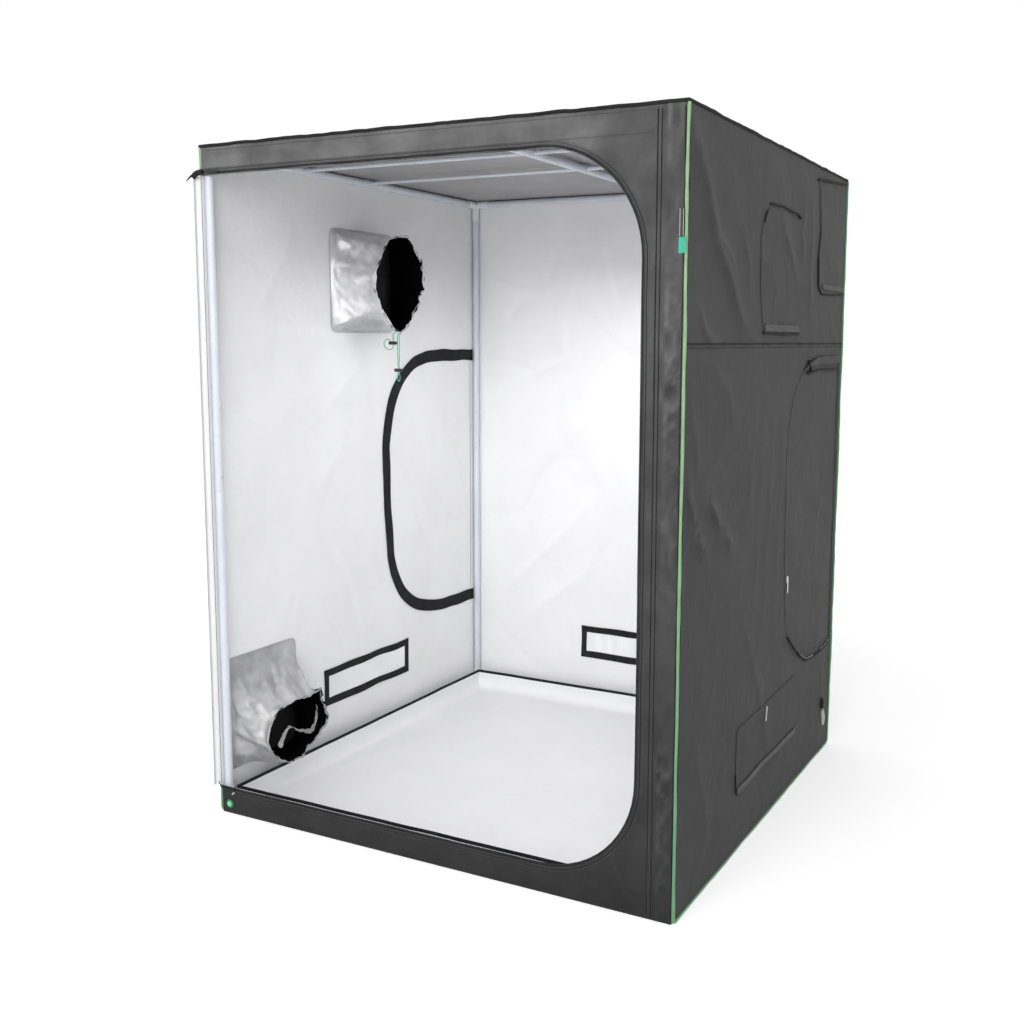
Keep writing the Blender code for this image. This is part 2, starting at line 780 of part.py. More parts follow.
def sock_rows(sock):
    """Rings from the sewn edge to the mouth, square at first and leaf-shaped at last."""
    inner_face = sock["side"] * (RIGHT - FABRIC - GAP - SOCK_WALL / 2)
    root, mouth = Vector(sock["root"]), Vector(sock["mouth"])
    root_half = [size - SOCK_FLANGE for size in sock["root_half"]]
    flange = []
    for i in range(SOCK_SIDES):
        angle = 2 * math.pi * i / SOCK_SIDES - math.pi / 2
        point = root + squarish(angle, sock["root_half"])
        flange.append(Vector((inner_face, point.x, point.y)))
    rows = [flange]
    for ring in range(SOCK_RINGS + 1):
        along = ring / SOCK_RINGS
        ease = along * along * (3 - 2 * along)
        settle = min(1, along * 1.34)
        drop = settle * settle * (3 - 2 * settle)
        centre = root.lerp(mouth, drop)
        row = []
        for i in range(SOCK_SIDES):
            angle = 2 * math.pi * i / SOCK_SIDES - math.pi / 2
            first = squarish(angle, root_half)
            last = leafed(angle, sock["mouth_half"], sock["leaf_share"])
            point = first.lerp(last, ease)
            waves = math.sin(7 * angle + 3 * along) + 0.6 * math.sin(4 * angle - 5 * along)
            tuck = abs(math.cos(angle)) ** 0.5
            swell = 1 + sock["ripple"] * waves * ease * tuck / max(sock["mouth_half"])
            out = sock["reach"] * along + sock["slant_share"] * point.x * ease
            lean = sock["lean"] * ease * point.y / sock["mouth_half"][1]
            x = inner_face - sock["side"] * max(out, 0)
            y = centre.x + point.x * swell + lean
            z = centre.y + point.y * (1 + (swell - 1) * tuck)
            row.append(Vector((x, y, z)))
        rows.append(row)
    return rows


def duct_socks():
    """The fabric tubes that duct and cables pass through."""
    for name, sock in SOCKS.items():
        place(cloth(sock_rows(sock), SOCK_WALL, closed=True), name, FOIL)


def hatch_outline(grow, hinge_y):
    """A D-shaped outline, straight at the hinge and grown outwards elsewhere."""
    front = HATCH_HINGE_Y - HATCH_WIDTH - grow
    bottom = HATCH_BOTTOM - grow
    top = HATCH_BOTTOM + HATCH_HEIGHT + grow
    radius = HATCH_RADIUS + grow
    points = [(hinge_y, top)]
    points += arc((front + radius, top - radius), radius, 90, 180, ARC_STEPS)
    points += arc((front + radius, bottom + radius), radius, 180, 270, ARC_STEPS)
    points.append((hinge_y, bottom))
    return points


def hatches():
    """The zipped service doors in the side walls."""
    edge = HATCH_HINGE_Y - DOOR_CLEARANCE
    depth = FABRIC + HATCH_STEP
    left = plate([hatch_outline(0, edge)], depth, facing_x(LEFT + depth / 2))
    place(left, "hatch_left", LINING)
    band_end = HATCH_HINGE_Y - HATCH_LAP
    band = hatch_outline(HATCH_LAP, band_end)
    band += hatch_outline(HATCH_LAP - HATCH_BAND, band_end)[::-1]
    face = INNER_LEFT + GAP + FABRIC / 2
    combine(left, plate([band], FABRIC, facing_x(face)), "UNION")
    middle = RIGHT - FABRIC / 2
    right = plate([hatch_outline(0, edge)], FABRIC, facing_x(middle))
    place(right, "hatch_right", SHELL)


def side_wall(name, x, socks, beads):
    """A side wall with its holes, and the piping sewn along its edges."""
    hinge = HATCH_HINGE_Y + HATCH_HINGE_GAP
    outline = rectangle((-BEAD_Y, BEAD_BOTTOM_Z), (BEAD_Y, WALL_TOP))
    holes = [hatch_outline(HATCH_CLEARANCE, hinge), vent_hole(0)]
    holes += [sock_hole(sock) for sock in socks]
    wall = plate([outline] + holes, FABRIC, facing_x(x))
    place(wall, name, SHELL)
    for path in beads:
        combine(wall, wire(path, BEAD_RADIUS), "UNION")


def walls():
    """Left, right and back walls."""
    top = WALL_TOP
    bottom = BEAD_BOTTOM_Z
    doorway_top = HEIGHT - HEADER_HEIGHT
    left_bead = [
        (-BEAD_X, -BEAD_Y, FOOTER_HEIGHT),
        (-BEAD_X, -BEAD_Y, bottom),
        (-BEAD_X, BEAD_Y, bottom),
        (-BEAD_X, BEAD_Y, top),
    ]
    header_bead = [(-BEAD_X, -BEAD_Y, doorway_top), (-BEAD_X, -BEAD_Y, top)]
    right_bead = [
        (BEAD_X, -BEAD_Y, top),
        (BEAD_X, -BEAD_Y, bottom),
        (BEAD_X, BEAD_Y, bottom),
        (BEAD_X, BEAD_Y, top),
    ]
    side_wall(
        "left_wall",
        LEFT + FABRIC / 2,
        ("sock_left_upper", "sock_left_lower"),
        (left_bead, header_bead),
    )
    side_wall(
        "right_wall",
        RIGHT - FABRIC / 2,
        ("sock_right_front", "sock_right_rear"),
        (right_bead,),
    )
    outline = rectangle((-PANEL_X, BEAD_LIFT), (PANEL_X, WALL_TOP))
    back = plate([outline, vent_hole(0)], FABRIC, facing_y(BACK - FABRIC / 2))
    place(back, "back_wall", SHELL)


def vents():
    """The netted vents low in the left, right and back walls."""
    vent("vent_left", 0, INNER_LEFT, 1, facing_x)
    vent("vent_right", 0, INNER_RIGHT, -1, facing_x)
    vent("vent_back", 0, INNER_BACK, -1, facing_y)


def roof_and_groundsheet():
    """The flat top with its bound edge, and the sheet under the frame."""
    outline = rectangle((-BEAD_X, -BEAD_Y), (BEAD_X, BEAD_Y))
    roof = plate([outline], FABRIC, facing_z(HEIGHT - FABRIC / 2))
    place(roof, "roof", SHELL)
    loop = [(x, y, BEAD_TOP_Z) for x, y in outline]
    combine(roof, wire(loop, BEAD_RADIUS, closed=True), "UNION")
    inner_y = INNER_BACK - GAP
    sheet = rectangle((-PANEL_X, -inner_y), (PANEL_X, inner_y))
    place(plate([sheet], FABRIC, facing_z(FABRIC / 2)), "groundsheet", SHELL)


def floor_tray():
    """The white tray inside the bottom rails, with a bound hem round its rim."""
    hem_x = POLE_X - FITTING_HALF - GAP
    hem_y = POLE_Y - FITTING_HALF - GAP
    x, y = hem_x - TRAY_HEM_PROUD, hem_y - TRAY_HEM_PROUD
    floor = FABRIC + GAP
    bm = bmesh.new()
    bmesh.ops.create_cube(bm, size=1)
    bmesh.ops.scale(bm, vec=(2 * x, 2 * y, TRAY_HEIGHT - floor), verts=bm.verts)
    bmesh.ops.translate(bm, vec=(0, 0, (TRAY_HEIGHT + floor) / 2), verts=bm.verts)
    top = max(bm.faces, key=lambda face: face.calc_center_median().z)
    bmesh.ops.inset_region(bm, faces=[top], thickness=TRAY_WALL, use_even_offset=True)
    raised = bmesh.ops.extrude_face_region(bm, geom=[top])
    verts = [item for item in raised["geom"] if isinstance(item, bmesh.types.BMVert)]
    depth = TRAY_HEIGHT - floor - TRAY_WALL
    bmesh.ops.translate(bm, vec=(0, 0, -depth), verts=verts)
    bmesh.ops.delete(bm, geom=[top], context="FACES_ONLY")
    tray = mesh_object(bm)
    place(tray, "floor_tray", LINING)
    outer = rectangle((-hem_x, -hem_y), (hem_x, hem_y))
    wall = TRAY_WALL + TRAY_HEM_PROUD
    inner = rectangle((-x + wall, -y + wall), (x - wall, y - wall))
    middle = TRAY_HEIGHT - TRAY_HEM_HEIGHT / 2 + GAP
    hem = plate([outer, inner], TRAY_HEM_HEIGHT, facing_z(middle))
    combine(tray, hem, "UNION")


def door_offset(along, up):
    """How far the hanging door stands out at a share of its width and height."""
    reach = min(1, max(0, (along - DOOR_BOW_START) / DOOR_BOW_REACH))
    bow = DOOR_BOW * math.sin(math.pi * reach) ** 2 if reach < 1 else 0
    edge = min(up - DOOR_BOTTOM, DOOR_TOP - up) - DOOR_FLAT_EDGE
    height = (DOOR_TOP - DOOR_BOTTOM) / 2 - DOOR_FLAT_EDGE
    rise = max(0, min(1, edge / height))
    hang = math.sin(math.pi / 2 * rise)
    free = max(0, min(1, (DOOR_REACH - DOOR_FLAT_EDGE - along) / DOOR_BOW_REACH))
    wave = math.sin(2 * math.pi * along / (DOOR_BOW_REACH / 2) + up)
    return hang * (bow + DOOR_FOLD * (1 + wave) / 2 * min(1, free * 4) * reach)


def door():
    """The hanging door, folded back beside the left wall with its lining outwards."""
    radius = DOORWAY_RADIUS - DOOR_CLEARANCE
    turn_share = (
        (0.0, 0.0), (0.43, 0.14), (0.82, 0.46), (1.0, 0.93), (1.0, 1.29)
    )
    columns = [
        (HINGE_OFFSET * out, HINGE_OFFSET * along) for out, along in turn_share
    ]
    flat = DOOR_REACH - radius
    for i in range(DOOR_COLUMNS + 1):
        along = DOOR_START + (flat - DOOR_START) * i / DOOR_COLUMNS
        columns.append((HINGE_OFFSET, along))
    for step in range(1, ARC_STEPS + 1):
        angle = math.pi / 2 * step / ARC_STEPS
        columns.append((HINGE_OFFSET, flat + radius * math.sin(angle)))
    rows = []
    for row in range(DOOR_ROWS + 1):
        points = []
        for out, along in columns:
            cut = max(0, along - flat)
            trim = radius - math.sqrt(max(0, radius * radius - cut * cut))
            low, high = DOOR_BOTTOM + trim, DOOR_TOP - trim
            z = low + (high - low) * row / DOOR_ROWS
            x = HINGE_X - out - door_offset(along, z)
            points.append(Vector((x, HINGE_Y + along, z)))
        rows.append(points)
    place(cloth(rows, DOOR_THICKNESS), "door", LINING)


def door_hinge_tape():
    """The folded strip, sewn to the left wall, that the door swings on."""
    wall = LEFT - GAP - TAPE_THICKNESS / 2
    fold_shares = (
        (0.5, 1.5), (0.0, 1.07), (-0.25, 0.72), (-0.217, 0.426), (-0.0775, 0.155)
    )
    path = [(wall, FRONT + TAPE_LAP), (wall, HINGE_Y + HINGE_OFFSET * 2)]
    for out, along in fold_shares:
        path.append((HINGE_X + HINGE_OFFSET * out, HINGE_Y + HINGE_OFFSET * along))
    rows = [[Vector((x, y, z)) for x, y in path] for z in (DOOR_BOTTOM, DOOR_TOP)]
    place(cloth(rows, TAPE_THICKNESS), "door_hinge_tape", SHELL)


def right_wall_flaps():
    """The flaps that close the ports and the vent on the right-hand side."""
    face = RIGHT + GAP + FLAP_THICKNESS / 2
    half = PORT_FLAP_SIZE / 2
    for name, (y, z) in (("port_flap_front", FRONT_PORT), ("port_flap_rear", REAR_PORT)):
        outline = rounded_rectangle((y - half, z - half), (y + half, z + half), FLAP_RADIUS)
        place(plate([outline], FLAP_THICKNESS, facing_x(face)), name, SHELL)
    half = VENT_FLAP_WIDTH / 2
    low = (-half, VENT_FLAP_TOP - VENT_FLAP_HEIGHT)
    outline = rounded_rectangle(low, (half, VENT_FLAP_TOP), FLAP_RADIUS)
    place(plate([outline], FLAP_THICKNESS, facing_x(face)), "vent_flap_right", SHELL)


def slider(name, matrix):
    """A zip slider: a rounded body with its pull lying flat along the zip."""
    half_width, half_tab = SLIDER_WIDTH / 2, SLIDER_TAB_WIDTH / 2
    half_length = SLIDER_LENGTH / 2
    low = (-half_length, -half_width, 0)
    high = (half_length, half_width, SLIDER_HEIGHT)
    body = block(low, high, SLIDER_ROUNDING)
    place(body, name, ZIP, matrix)
    tab_z = SLIDER_HEIGHT - SLIDER_TAB_THICKNESS
    tab_low = (0, -half_tab, tab_z + GAP)
    tab_high = (half_length + SLIDER_TAB_LENGTH, half_tab, SLIDER_HEIGHT + GAP)
    tab = block(tab_low, tab_high, SLIDER_TAB_THICKNESS / 4, 1)
    tab.data.transform(matrix)
    combine(body, tab, "UNION")


def zip_sliders():
    """The door's slider at the top left, and the right hatch's on its front edge."""
    z = HEIGHT - HEADER_HEIGHT + ZIP_WIDTH / 2
    spot = Vector((LEFT + DOOR_SLIDER_FROM_SIDE, FRONT - ZIP_PROUD - GAP, z))
    slider("door_slider", frame_matrix(X, Z, -Y, spot))
    y = HATCH_HINGE_Y - HATCH_WIDTH + HATCH_SLIDER_FROM_EDGE
    spot = Vector((RIGHT + GAP, y, HATCH_SLIDER_HEIGHT))
    slider("hatch_slider", frame_matrix(-Z, Y, X, spot))


# The drawcord's two loops, as shares of its hang, from the lowest point of the upper left
# sock's mouth: each goes down from the hem through its lock, round and back up
LOOP_SHARES = (
    (-0.1753, 0.0, -0.0113),
    (-0.1753, 0.0, -0.0563),
    (-0.1753, 0.0, -0.1125),
    (-0.1753, 0.0, -0.1688),
    (-0.1753, 0.0, -0.2188),
    (-0.1766, -0.0094, -0.2594),
    (-0.1878, -0.0406, -0.2938),
    (-0.2128, -0.0906, -0.3063),
    (-0.2391, -0.1469, -0.2906),
    (-0.2578, -0.1906, -0.2469),
    (-0.2641, -0.2094, -0.1875),
    (-0.2553, -0.1969, -0.1281),
    (-0.2328, -0.1594, -0.0906),
    (-0.2053, -0.1125, -0.0906),
    (-0.1847, -0.0719, -0.1219),
)
TAIL_SHARES = (
    (-0.0628, 0.0, -0.0075),
    (-0.0616, 0.0, -0.0813),
    (-0.0603, 0.0, -0.2188),
    (-0.0578, 0.0, -0.375),
    (-0.0553, 0.0, -0.5313),
    (-0.0528, 0.0, -0.6875),
    (-0.0528, 0.0, -0.75),
    (-0.0541, 0.0, -0.8063),
    (-0.0653, 0.0, -0.8656),
    (-0.0703, 0.0, -0.9219),
    (-0.0578, 0.0, -0.97),
    (-0.0378, 0.0, -0.9863),
    (-0.0178, 0.0, -0.97),
    (-0.0053, 0.0, -0.9219),
    (-0.0103, 0.0, -0.8656),
    (-0.0216, 0.0, -0.8063),
    (-0.0228, 0.0, -0.75),
    (-0.0228, 0.0, -0.6875),
    (-0.0203, 0.0, -0.5313),
    (-0.0178, 0.0, -0.375),
    (-0.0153, 0.0, -0.2188),
    (-0.0141, 0.0, -0.0813),
    (-0.0128, 0.0, -0.0075),
)
UPPER_LOCK_SHARE = (-0.1753, 0.0, -0.1688)
LOWER_LOCK_SHARE = (-0.0378, 0.0, -0.75)


def below_mouth(share):
    """A point under the mouth of the upper left sock."""
    x = INNER_LEFT + GAP + SOCK_WALL / 2 + UPPER_SOCK_REACH
    y = UPPER_MOUTH_BACK - UPPER_MOUTH_LEAN
    z = HEIGHT - UPPER_MOUTH_BELOW_ROOF - UPPER_MOUTH_HEIGHT / 2
    return Vector((x, y, z)) + Vector(share) * CORD_HANG


def smooth_path(points, step):
    """Points at even steps on a smooth curve through the given ones."""
    points = [Vector(point) for point in points]
    ends = [2 * points[0] - points[1]] + points + [2 * points[-1] - points[-2]]
    fine = []
    for before, start, end, after in zip(ends, ends[1:], ends[2:], ends[3:]):
        for k in range(12):
            t = k / 12
            bend = 2 * before - 5 * start + 4 * end - after
            twist = after - before + 3 * (start - end)
            fine.append((2 * start + (end - before) * t + bend * t * t + twist * t**3) / 2)
    fine.append(points[-1])
    length = sum((b - a).length for a, b in zip(fine, fine[1:]))
    count = max(2, round(length / step))
    even, walked, goal = [fine[0]], 0.0, length / count
    for a, b in zip(fine, fine[1:]):
        span = (b - a).length
        while span > 0 and walked + span >= goal * len(even) and len(even) < count:
            even.append(a.lerp(b, (goal * len(even) - walked) / span))
        walked += span
    return even + [fine[-1]]


def cord_lock(name, centre):
    """A barrel lock: a body with a slot for the cord, and its sprung plunger."""
    centre = Vector(centre)
    half = LOCK_LENGTH / 2
    left = centre.x - half - LOCK_END_WALL
    right = left + LOCK_LENGTH
    body = rod(LOCK_RADIUS, (left, centre.y, centre.z), (right, centre.y, centre.z))
    place(body, name, LOCK)
    floor = left + LOCK_END_WALL
    bore_start = (floor, centre.y, centre.z)
    bore_end = (right + OVERRUN, centre.y, centre.z)
    combine(body, rod(LOCK_BORE, bore_start, bore_end, 12), "DIFFERENCE")
    reach = Vector((LOCK_SLOT_LENGTH / 2, LOCK_SLOT_WIDTH / 2, LOCK_RADIUS + OVERRUN))
    combine(body, block(centre - reach, centre + reach), "DIFFERENCE")
    start = floor + PLUNGER_SPRING_SPACE
    end = right + PLUNGER_PROUD
    plunger = baked(
        turned(
            [
                (0, end),
                (PLUNGER_RADIUS - PLUNGER_ROUNDING, end),
                (PLUNGER_RADIUS, end - PLUNGER_ROUNDING),
                (PLUNGER_RADIUS, start),
                (0, start),
            ],
            12,
        )
    )
    plunger.data.transform(frame_matrix(Y, Z, X, Vector((0, centre.y, centre.z))))
    place(plunger, name.replace("cord_lock", "lock_plunger"), LOCK)
    travel = Vector((PLUNGER_TRAVEL, 0, 0))
    combine(plunger, block(centre - reach, centre + reach + travel), "DIFFERENCE")


def drawcord():
    """The green drawcord's loops and the locks on them."""
    for name, shares in (("drawcord_loop", LOOP_SHARES), ("drawcord_tail", TAIL_SHARES)):
        path = smooth_path([below_mouth(share) for share in shares], CORD_STEP)
        place(wire(path, CORD_RADIUS), name, CORD)
    cord_lock("cord_lock_upper", below_mouth(UPPER_LOCK_SHARE))
    cord_lock("cord_lock_lower", below_mouth(LOWER_LOCK_SHARE))


def set_origins():
    """Puts each moving piece's origin on the line that it turns or slides on."""
    button_z = POST_JOINT_HEIGHT + BUTTON_ABOVE_JOINT
    flap_x = RIGHT + GAP + FLAP_THICKNESS
    port_half = PORT_FLAP_SIZE / 2
    upper_lock = below_mouth(UPPER_LOCK_SHARE)
    lower_lock = below_mouth(LOWER_LOCK_SHARE)
    hatch_middle = HATCH_BOTTOM + HATCH_HEIGHT / 2
    origins = {
        "snap_button_front_left": (-POLE_X, -POLE_Y, button_z),
        "snap_button_front_right": (POLE_X, -POLE_Y, button_z),
        "snap_button_back_left": (-POLE_X, POLE_Y, button_z),
        "snap_button_back_right": (POLE_X, POLE_Y, button_z),
        "cross_bar_front": (0, FRONT + FRONT_BAR_FROM_FRONT, RAIL_TOP_Z),
        "cross_bar_rear": (0, FRONT + REAR_BAR_FROM_FRONT, RAIL_TOP_Z),
        "door": (HINGE_X, HINGE_Y, HEIGHT / 2),
        "hatch_left": (INNER_LEFT + HATCH_STEP, HATCH_HINGE_Y, hatch_middle),
        "hatch_right": (RIGHT + HATCH_STEP, HATCH_HINGE_Y, hatch_middle),
        "port_flap_front": (flap_x, FRONT_PORT[0], FRONT_PORT[1] + port_half),
        "port_flap_rear": (flap_x, REAR_PORT[0], REAR_PORT[1] + port_half),
        "vent_flap_right": (flap_x, 0, VENT_FLAP_TOP),
        "cord_lock_upper": upper_lock,
        "cord_lock_lower": lower_lock,
        "lock_plunger_upper": upper_lock,
        "lock_plunger_lower": lower_lock,
    }
    for name, point in origins.items():
        obj = parts.objects[name]
        before = obj.matrix_world.copy()
        after = before.copy()
        after.translation = point
        obj.data.transform(after.inverted() @ before)
        obj.matrix_world = after


post_halves()
snap_buttons()
corner_fittings()
rails()
roof_poles()
front_panel()
walls()
vents()
roof_and_groundsheet()
floor_tray()
hatches()
duct_socks()
door()
door_hinge_tape()
right_wall_flaps()
zip_sliders()
drawcord()
set_origins()
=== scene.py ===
"""Looks for the indoor grow tent: its cloth, zips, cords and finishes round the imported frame."""

import json
import math

import bmesh
import bpy
from mathutils import Matrix, Vector, noise
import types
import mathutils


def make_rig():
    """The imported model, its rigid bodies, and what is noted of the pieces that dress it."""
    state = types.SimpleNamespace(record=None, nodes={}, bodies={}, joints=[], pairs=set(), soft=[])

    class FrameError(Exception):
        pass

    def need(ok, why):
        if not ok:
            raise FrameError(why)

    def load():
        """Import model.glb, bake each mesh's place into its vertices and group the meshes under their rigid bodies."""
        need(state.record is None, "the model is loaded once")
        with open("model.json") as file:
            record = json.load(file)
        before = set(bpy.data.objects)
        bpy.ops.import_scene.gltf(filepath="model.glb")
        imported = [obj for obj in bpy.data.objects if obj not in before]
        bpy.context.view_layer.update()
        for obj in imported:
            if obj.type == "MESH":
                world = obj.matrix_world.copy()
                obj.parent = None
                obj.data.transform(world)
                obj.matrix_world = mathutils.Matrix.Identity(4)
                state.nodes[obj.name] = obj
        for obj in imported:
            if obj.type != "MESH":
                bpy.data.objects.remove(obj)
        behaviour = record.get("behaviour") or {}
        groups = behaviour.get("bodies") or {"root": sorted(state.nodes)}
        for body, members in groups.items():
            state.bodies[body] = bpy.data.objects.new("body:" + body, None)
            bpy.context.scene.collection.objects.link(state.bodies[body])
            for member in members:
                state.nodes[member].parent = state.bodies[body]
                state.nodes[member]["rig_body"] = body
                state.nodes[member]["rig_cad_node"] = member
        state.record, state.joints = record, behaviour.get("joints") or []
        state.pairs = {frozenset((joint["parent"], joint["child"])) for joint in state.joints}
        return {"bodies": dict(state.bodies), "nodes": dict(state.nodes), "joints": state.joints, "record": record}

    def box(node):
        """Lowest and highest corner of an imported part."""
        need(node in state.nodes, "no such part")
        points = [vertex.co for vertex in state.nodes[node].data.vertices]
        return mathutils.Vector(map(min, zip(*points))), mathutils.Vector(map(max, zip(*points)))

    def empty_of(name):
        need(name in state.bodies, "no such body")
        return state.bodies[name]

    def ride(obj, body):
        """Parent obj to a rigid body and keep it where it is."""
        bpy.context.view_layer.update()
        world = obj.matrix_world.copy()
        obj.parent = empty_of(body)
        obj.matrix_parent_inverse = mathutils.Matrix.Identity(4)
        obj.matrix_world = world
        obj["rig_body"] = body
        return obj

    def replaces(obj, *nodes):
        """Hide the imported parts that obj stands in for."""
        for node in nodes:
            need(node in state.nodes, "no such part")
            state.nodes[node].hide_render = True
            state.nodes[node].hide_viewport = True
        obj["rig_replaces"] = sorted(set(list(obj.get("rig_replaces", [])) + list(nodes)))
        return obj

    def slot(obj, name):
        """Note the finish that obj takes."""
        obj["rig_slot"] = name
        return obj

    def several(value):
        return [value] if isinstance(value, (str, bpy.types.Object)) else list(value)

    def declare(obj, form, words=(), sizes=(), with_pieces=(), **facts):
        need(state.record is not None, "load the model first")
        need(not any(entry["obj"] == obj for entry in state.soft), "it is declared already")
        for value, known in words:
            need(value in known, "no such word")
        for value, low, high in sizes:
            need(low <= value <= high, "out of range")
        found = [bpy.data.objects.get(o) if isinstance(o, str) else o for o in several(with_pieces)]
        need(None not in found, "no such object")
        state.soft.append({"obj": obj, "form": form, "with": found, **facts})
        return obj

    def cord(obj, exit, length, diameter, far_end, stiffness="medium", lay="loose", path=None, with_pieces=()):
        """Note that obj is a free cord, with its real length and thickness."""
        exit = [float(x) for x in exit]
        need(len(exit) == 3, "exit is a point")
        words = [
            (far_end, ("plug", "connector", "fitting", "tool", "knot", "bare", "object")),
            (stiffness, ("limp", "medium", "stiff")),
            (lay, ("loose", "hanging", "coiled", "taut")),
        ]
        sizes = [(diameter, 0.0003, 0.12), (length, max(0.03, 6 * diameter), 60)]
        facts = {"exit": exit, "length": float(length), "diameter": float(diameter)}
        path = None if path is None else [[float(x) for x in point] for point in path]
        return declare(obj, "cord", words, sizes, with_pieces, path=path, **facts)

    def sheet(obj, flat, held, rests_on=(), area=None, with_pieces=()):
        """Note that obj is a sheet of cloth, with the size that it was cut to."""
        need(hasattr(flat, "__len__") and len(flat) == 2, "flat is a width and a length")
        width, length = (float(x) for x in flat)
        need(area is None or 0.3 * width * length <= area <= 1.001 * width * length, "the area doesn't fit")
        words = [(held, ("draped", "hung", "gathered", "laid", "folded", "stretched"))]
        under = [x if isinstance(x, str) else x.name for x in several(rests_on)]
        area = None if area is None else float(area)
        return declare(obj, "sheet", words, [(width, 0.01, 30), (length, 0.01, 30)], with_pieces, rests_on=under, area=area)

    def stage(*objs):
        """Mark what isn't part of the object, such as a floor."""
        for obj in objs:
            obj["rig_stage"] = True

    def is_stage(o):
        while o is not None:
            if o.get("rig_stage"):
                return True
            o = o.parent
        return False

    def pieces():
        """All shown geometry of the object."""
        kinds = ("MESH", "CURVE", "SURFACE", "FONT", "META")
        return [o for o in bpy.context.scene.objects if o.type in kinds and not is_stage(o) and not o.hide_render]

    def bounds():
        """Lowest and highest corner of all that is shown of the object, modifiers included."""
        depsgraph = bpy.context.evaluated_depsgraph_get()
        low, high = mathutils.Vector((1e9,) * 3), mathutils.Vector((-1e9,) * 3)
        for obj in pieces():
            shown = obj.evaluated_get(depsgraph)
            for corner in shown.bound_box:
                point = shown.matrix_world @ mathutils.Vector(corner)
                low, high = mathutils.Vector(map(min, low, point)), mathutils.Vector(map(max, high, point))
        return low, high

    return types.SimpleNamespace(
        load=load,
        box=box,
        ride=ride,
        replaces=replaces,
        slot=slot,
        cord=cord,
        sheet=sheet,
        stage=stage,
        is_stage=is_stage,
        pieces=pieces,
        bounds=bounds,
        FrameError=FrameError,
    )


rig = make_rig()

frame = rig.load()
cad_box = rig.bounds()
scene = bpy.context.scene
X, Y, Z = Vector((1, 0, 0)), Vector((0, 1, 0)), Vector((0, 0, 1))

# The vector noise that trims waver by starts from the clock unless it has a seed.
noise.seed_set(1)

# Camera and studio: the view is from standing height, from the right of the open doorway.
# The floor and walls of the studio are plain white. One broad soft lamp is in front, weaker
# ones are at both sides and overhead, and a soft panel hangs under the roof.
camera = bpy.data.objects.new("camera", bpy.data.cameras.new("camera"))
scene.collection.objects.link(camera)
scene.camera = camera
camera.data.lens = 40.39
camera.data.shift_x = -0.0474
camera.data.shift_y = -0.0206
heading, dip, roll = 27.38, 7.53, 0.34
aim = Matrix.Rotation(math.radians(heading), 4, "Z")
aim @= Matrix.Rotation(math.radians(90 - dip), 4, "X")
aim @= Matrix.Rotation(math.radians(roll), 4, "Z")
camera.matrix_world = Matrix.Translation((1.740, -3.289, 1.455)) @ aim
scene.view_settings.view_transform = "Standard"

for lamp_name, spot, size, power in (
    ("front_softbox", (1.1, -5.2, 2.6), 4.5, 184),
    ("side_softbox", (5.5, -1.5, 2.8), 4.0, 9),
    ("overhead_softbox", (0.0, -1.0, 6.0), 5.0, 40),
    ("door_softbox", (-4.2, -1.4, 1.8), 3.0, 26),
    ("cabin_panel", (0.1, 0.0, 1.74), 0.8, 6.5),
):
    lamp = bpy.data.objects.new(lamp_name, bpy.data.lights.new(lamp_name, "AREA"))
    scene.collection.objects.link(lamp)
    lamp.data.shape = "DISK"
    lamp.data.size = size
    lamp.data.energy = power
    lamp.visible_camera = False
    towards = Vector((spot[0] if spot[2] < 2 else 0, 0, 0.9)) - Vector(spot)
    turn = towards.to_track_quat("-Z", "Y").to_matrix().to_4x4()
    lamp.matrix_world = Matrix.Translation(spot) @ turn


def add_node(tree, kind, feeds=None, **settings):
    """Adds a node; feeds maps its inputs to other nodes' outputs or to plain values."""
    node = tree.nodes.new(kind)
    for key, value in settings.items():
        setattr(node, key, value)
    for socket, source in (feeds or {}).items():
        if isinstance(source, bpy.types.NodeSocket):
            tree.links.new(source, node.inputs[socket])
        else:
            node.inputs[socket].default_value = source
    return node


def sums(tree, operation, first, second=None):
    """One step of arithmetic."""
    feeds = {0: first} if second is None else {0: first, 1: second}
    return add_node(tree, "ShaderNodeMath", feeds, operation=operation).outputs[0]


def mapped(tree, value, start, end, low=0.0, high=1.0):
    """A value carried over from the range start to end onto the range low to high."""
    feeds = {0: value, 1: start, 2: end, 3: low, 4: high}
    return add_node(tree, "ShaderNodeMapRange", feeds).outputs[0]


def new_material(name, color, roughness, metallic=0.0):
    """A Principled finish, with its object coordinates ready to use."""
    made = bpy.data.materials.new(name)
    made.use_nodes = True
    tree = made.node_tree
    shader = tree.nodes["Principled BSDF"]
    shader.inputs["Base Color"].default_value = (*color, 1)
    shader.inputs["Roughness"].default_value = roughness
    shader.inputs["Metallic"].default_value = metallic
    where = add_node(tree, "ShaderNodeTexCoord").outputs["Object"]
    return made, tree, shader, where


def studio_white(tree, kind, strength):
    """Plain white, and the mask of the camera, gloss and glass rays that should see it."""
    seen = add_node(tree, "ShaderNodeLightPath").outputs
    rays = sums(tree, "MAXIMUM", seen["Is Camera Ray"], seen["Is Glossy Ray"])
    rays = sums(tree, "MAXIMUM", rays, seen["Is Transmission Ray"])
    white = add_node(tree, kind, {"Color": (1, 1, 1, 1), "Strength": strength})
    return rays, white.outputs[0]


def loose_object(bm, name):
    """A new object from a finished bmesh, not yet in the scene."""
    mesh = bpy.data.meshes.new(name)
    bm.to_mesh(mesh)
    bm.free()
    return bpy.data.objects.new(name, mesh)


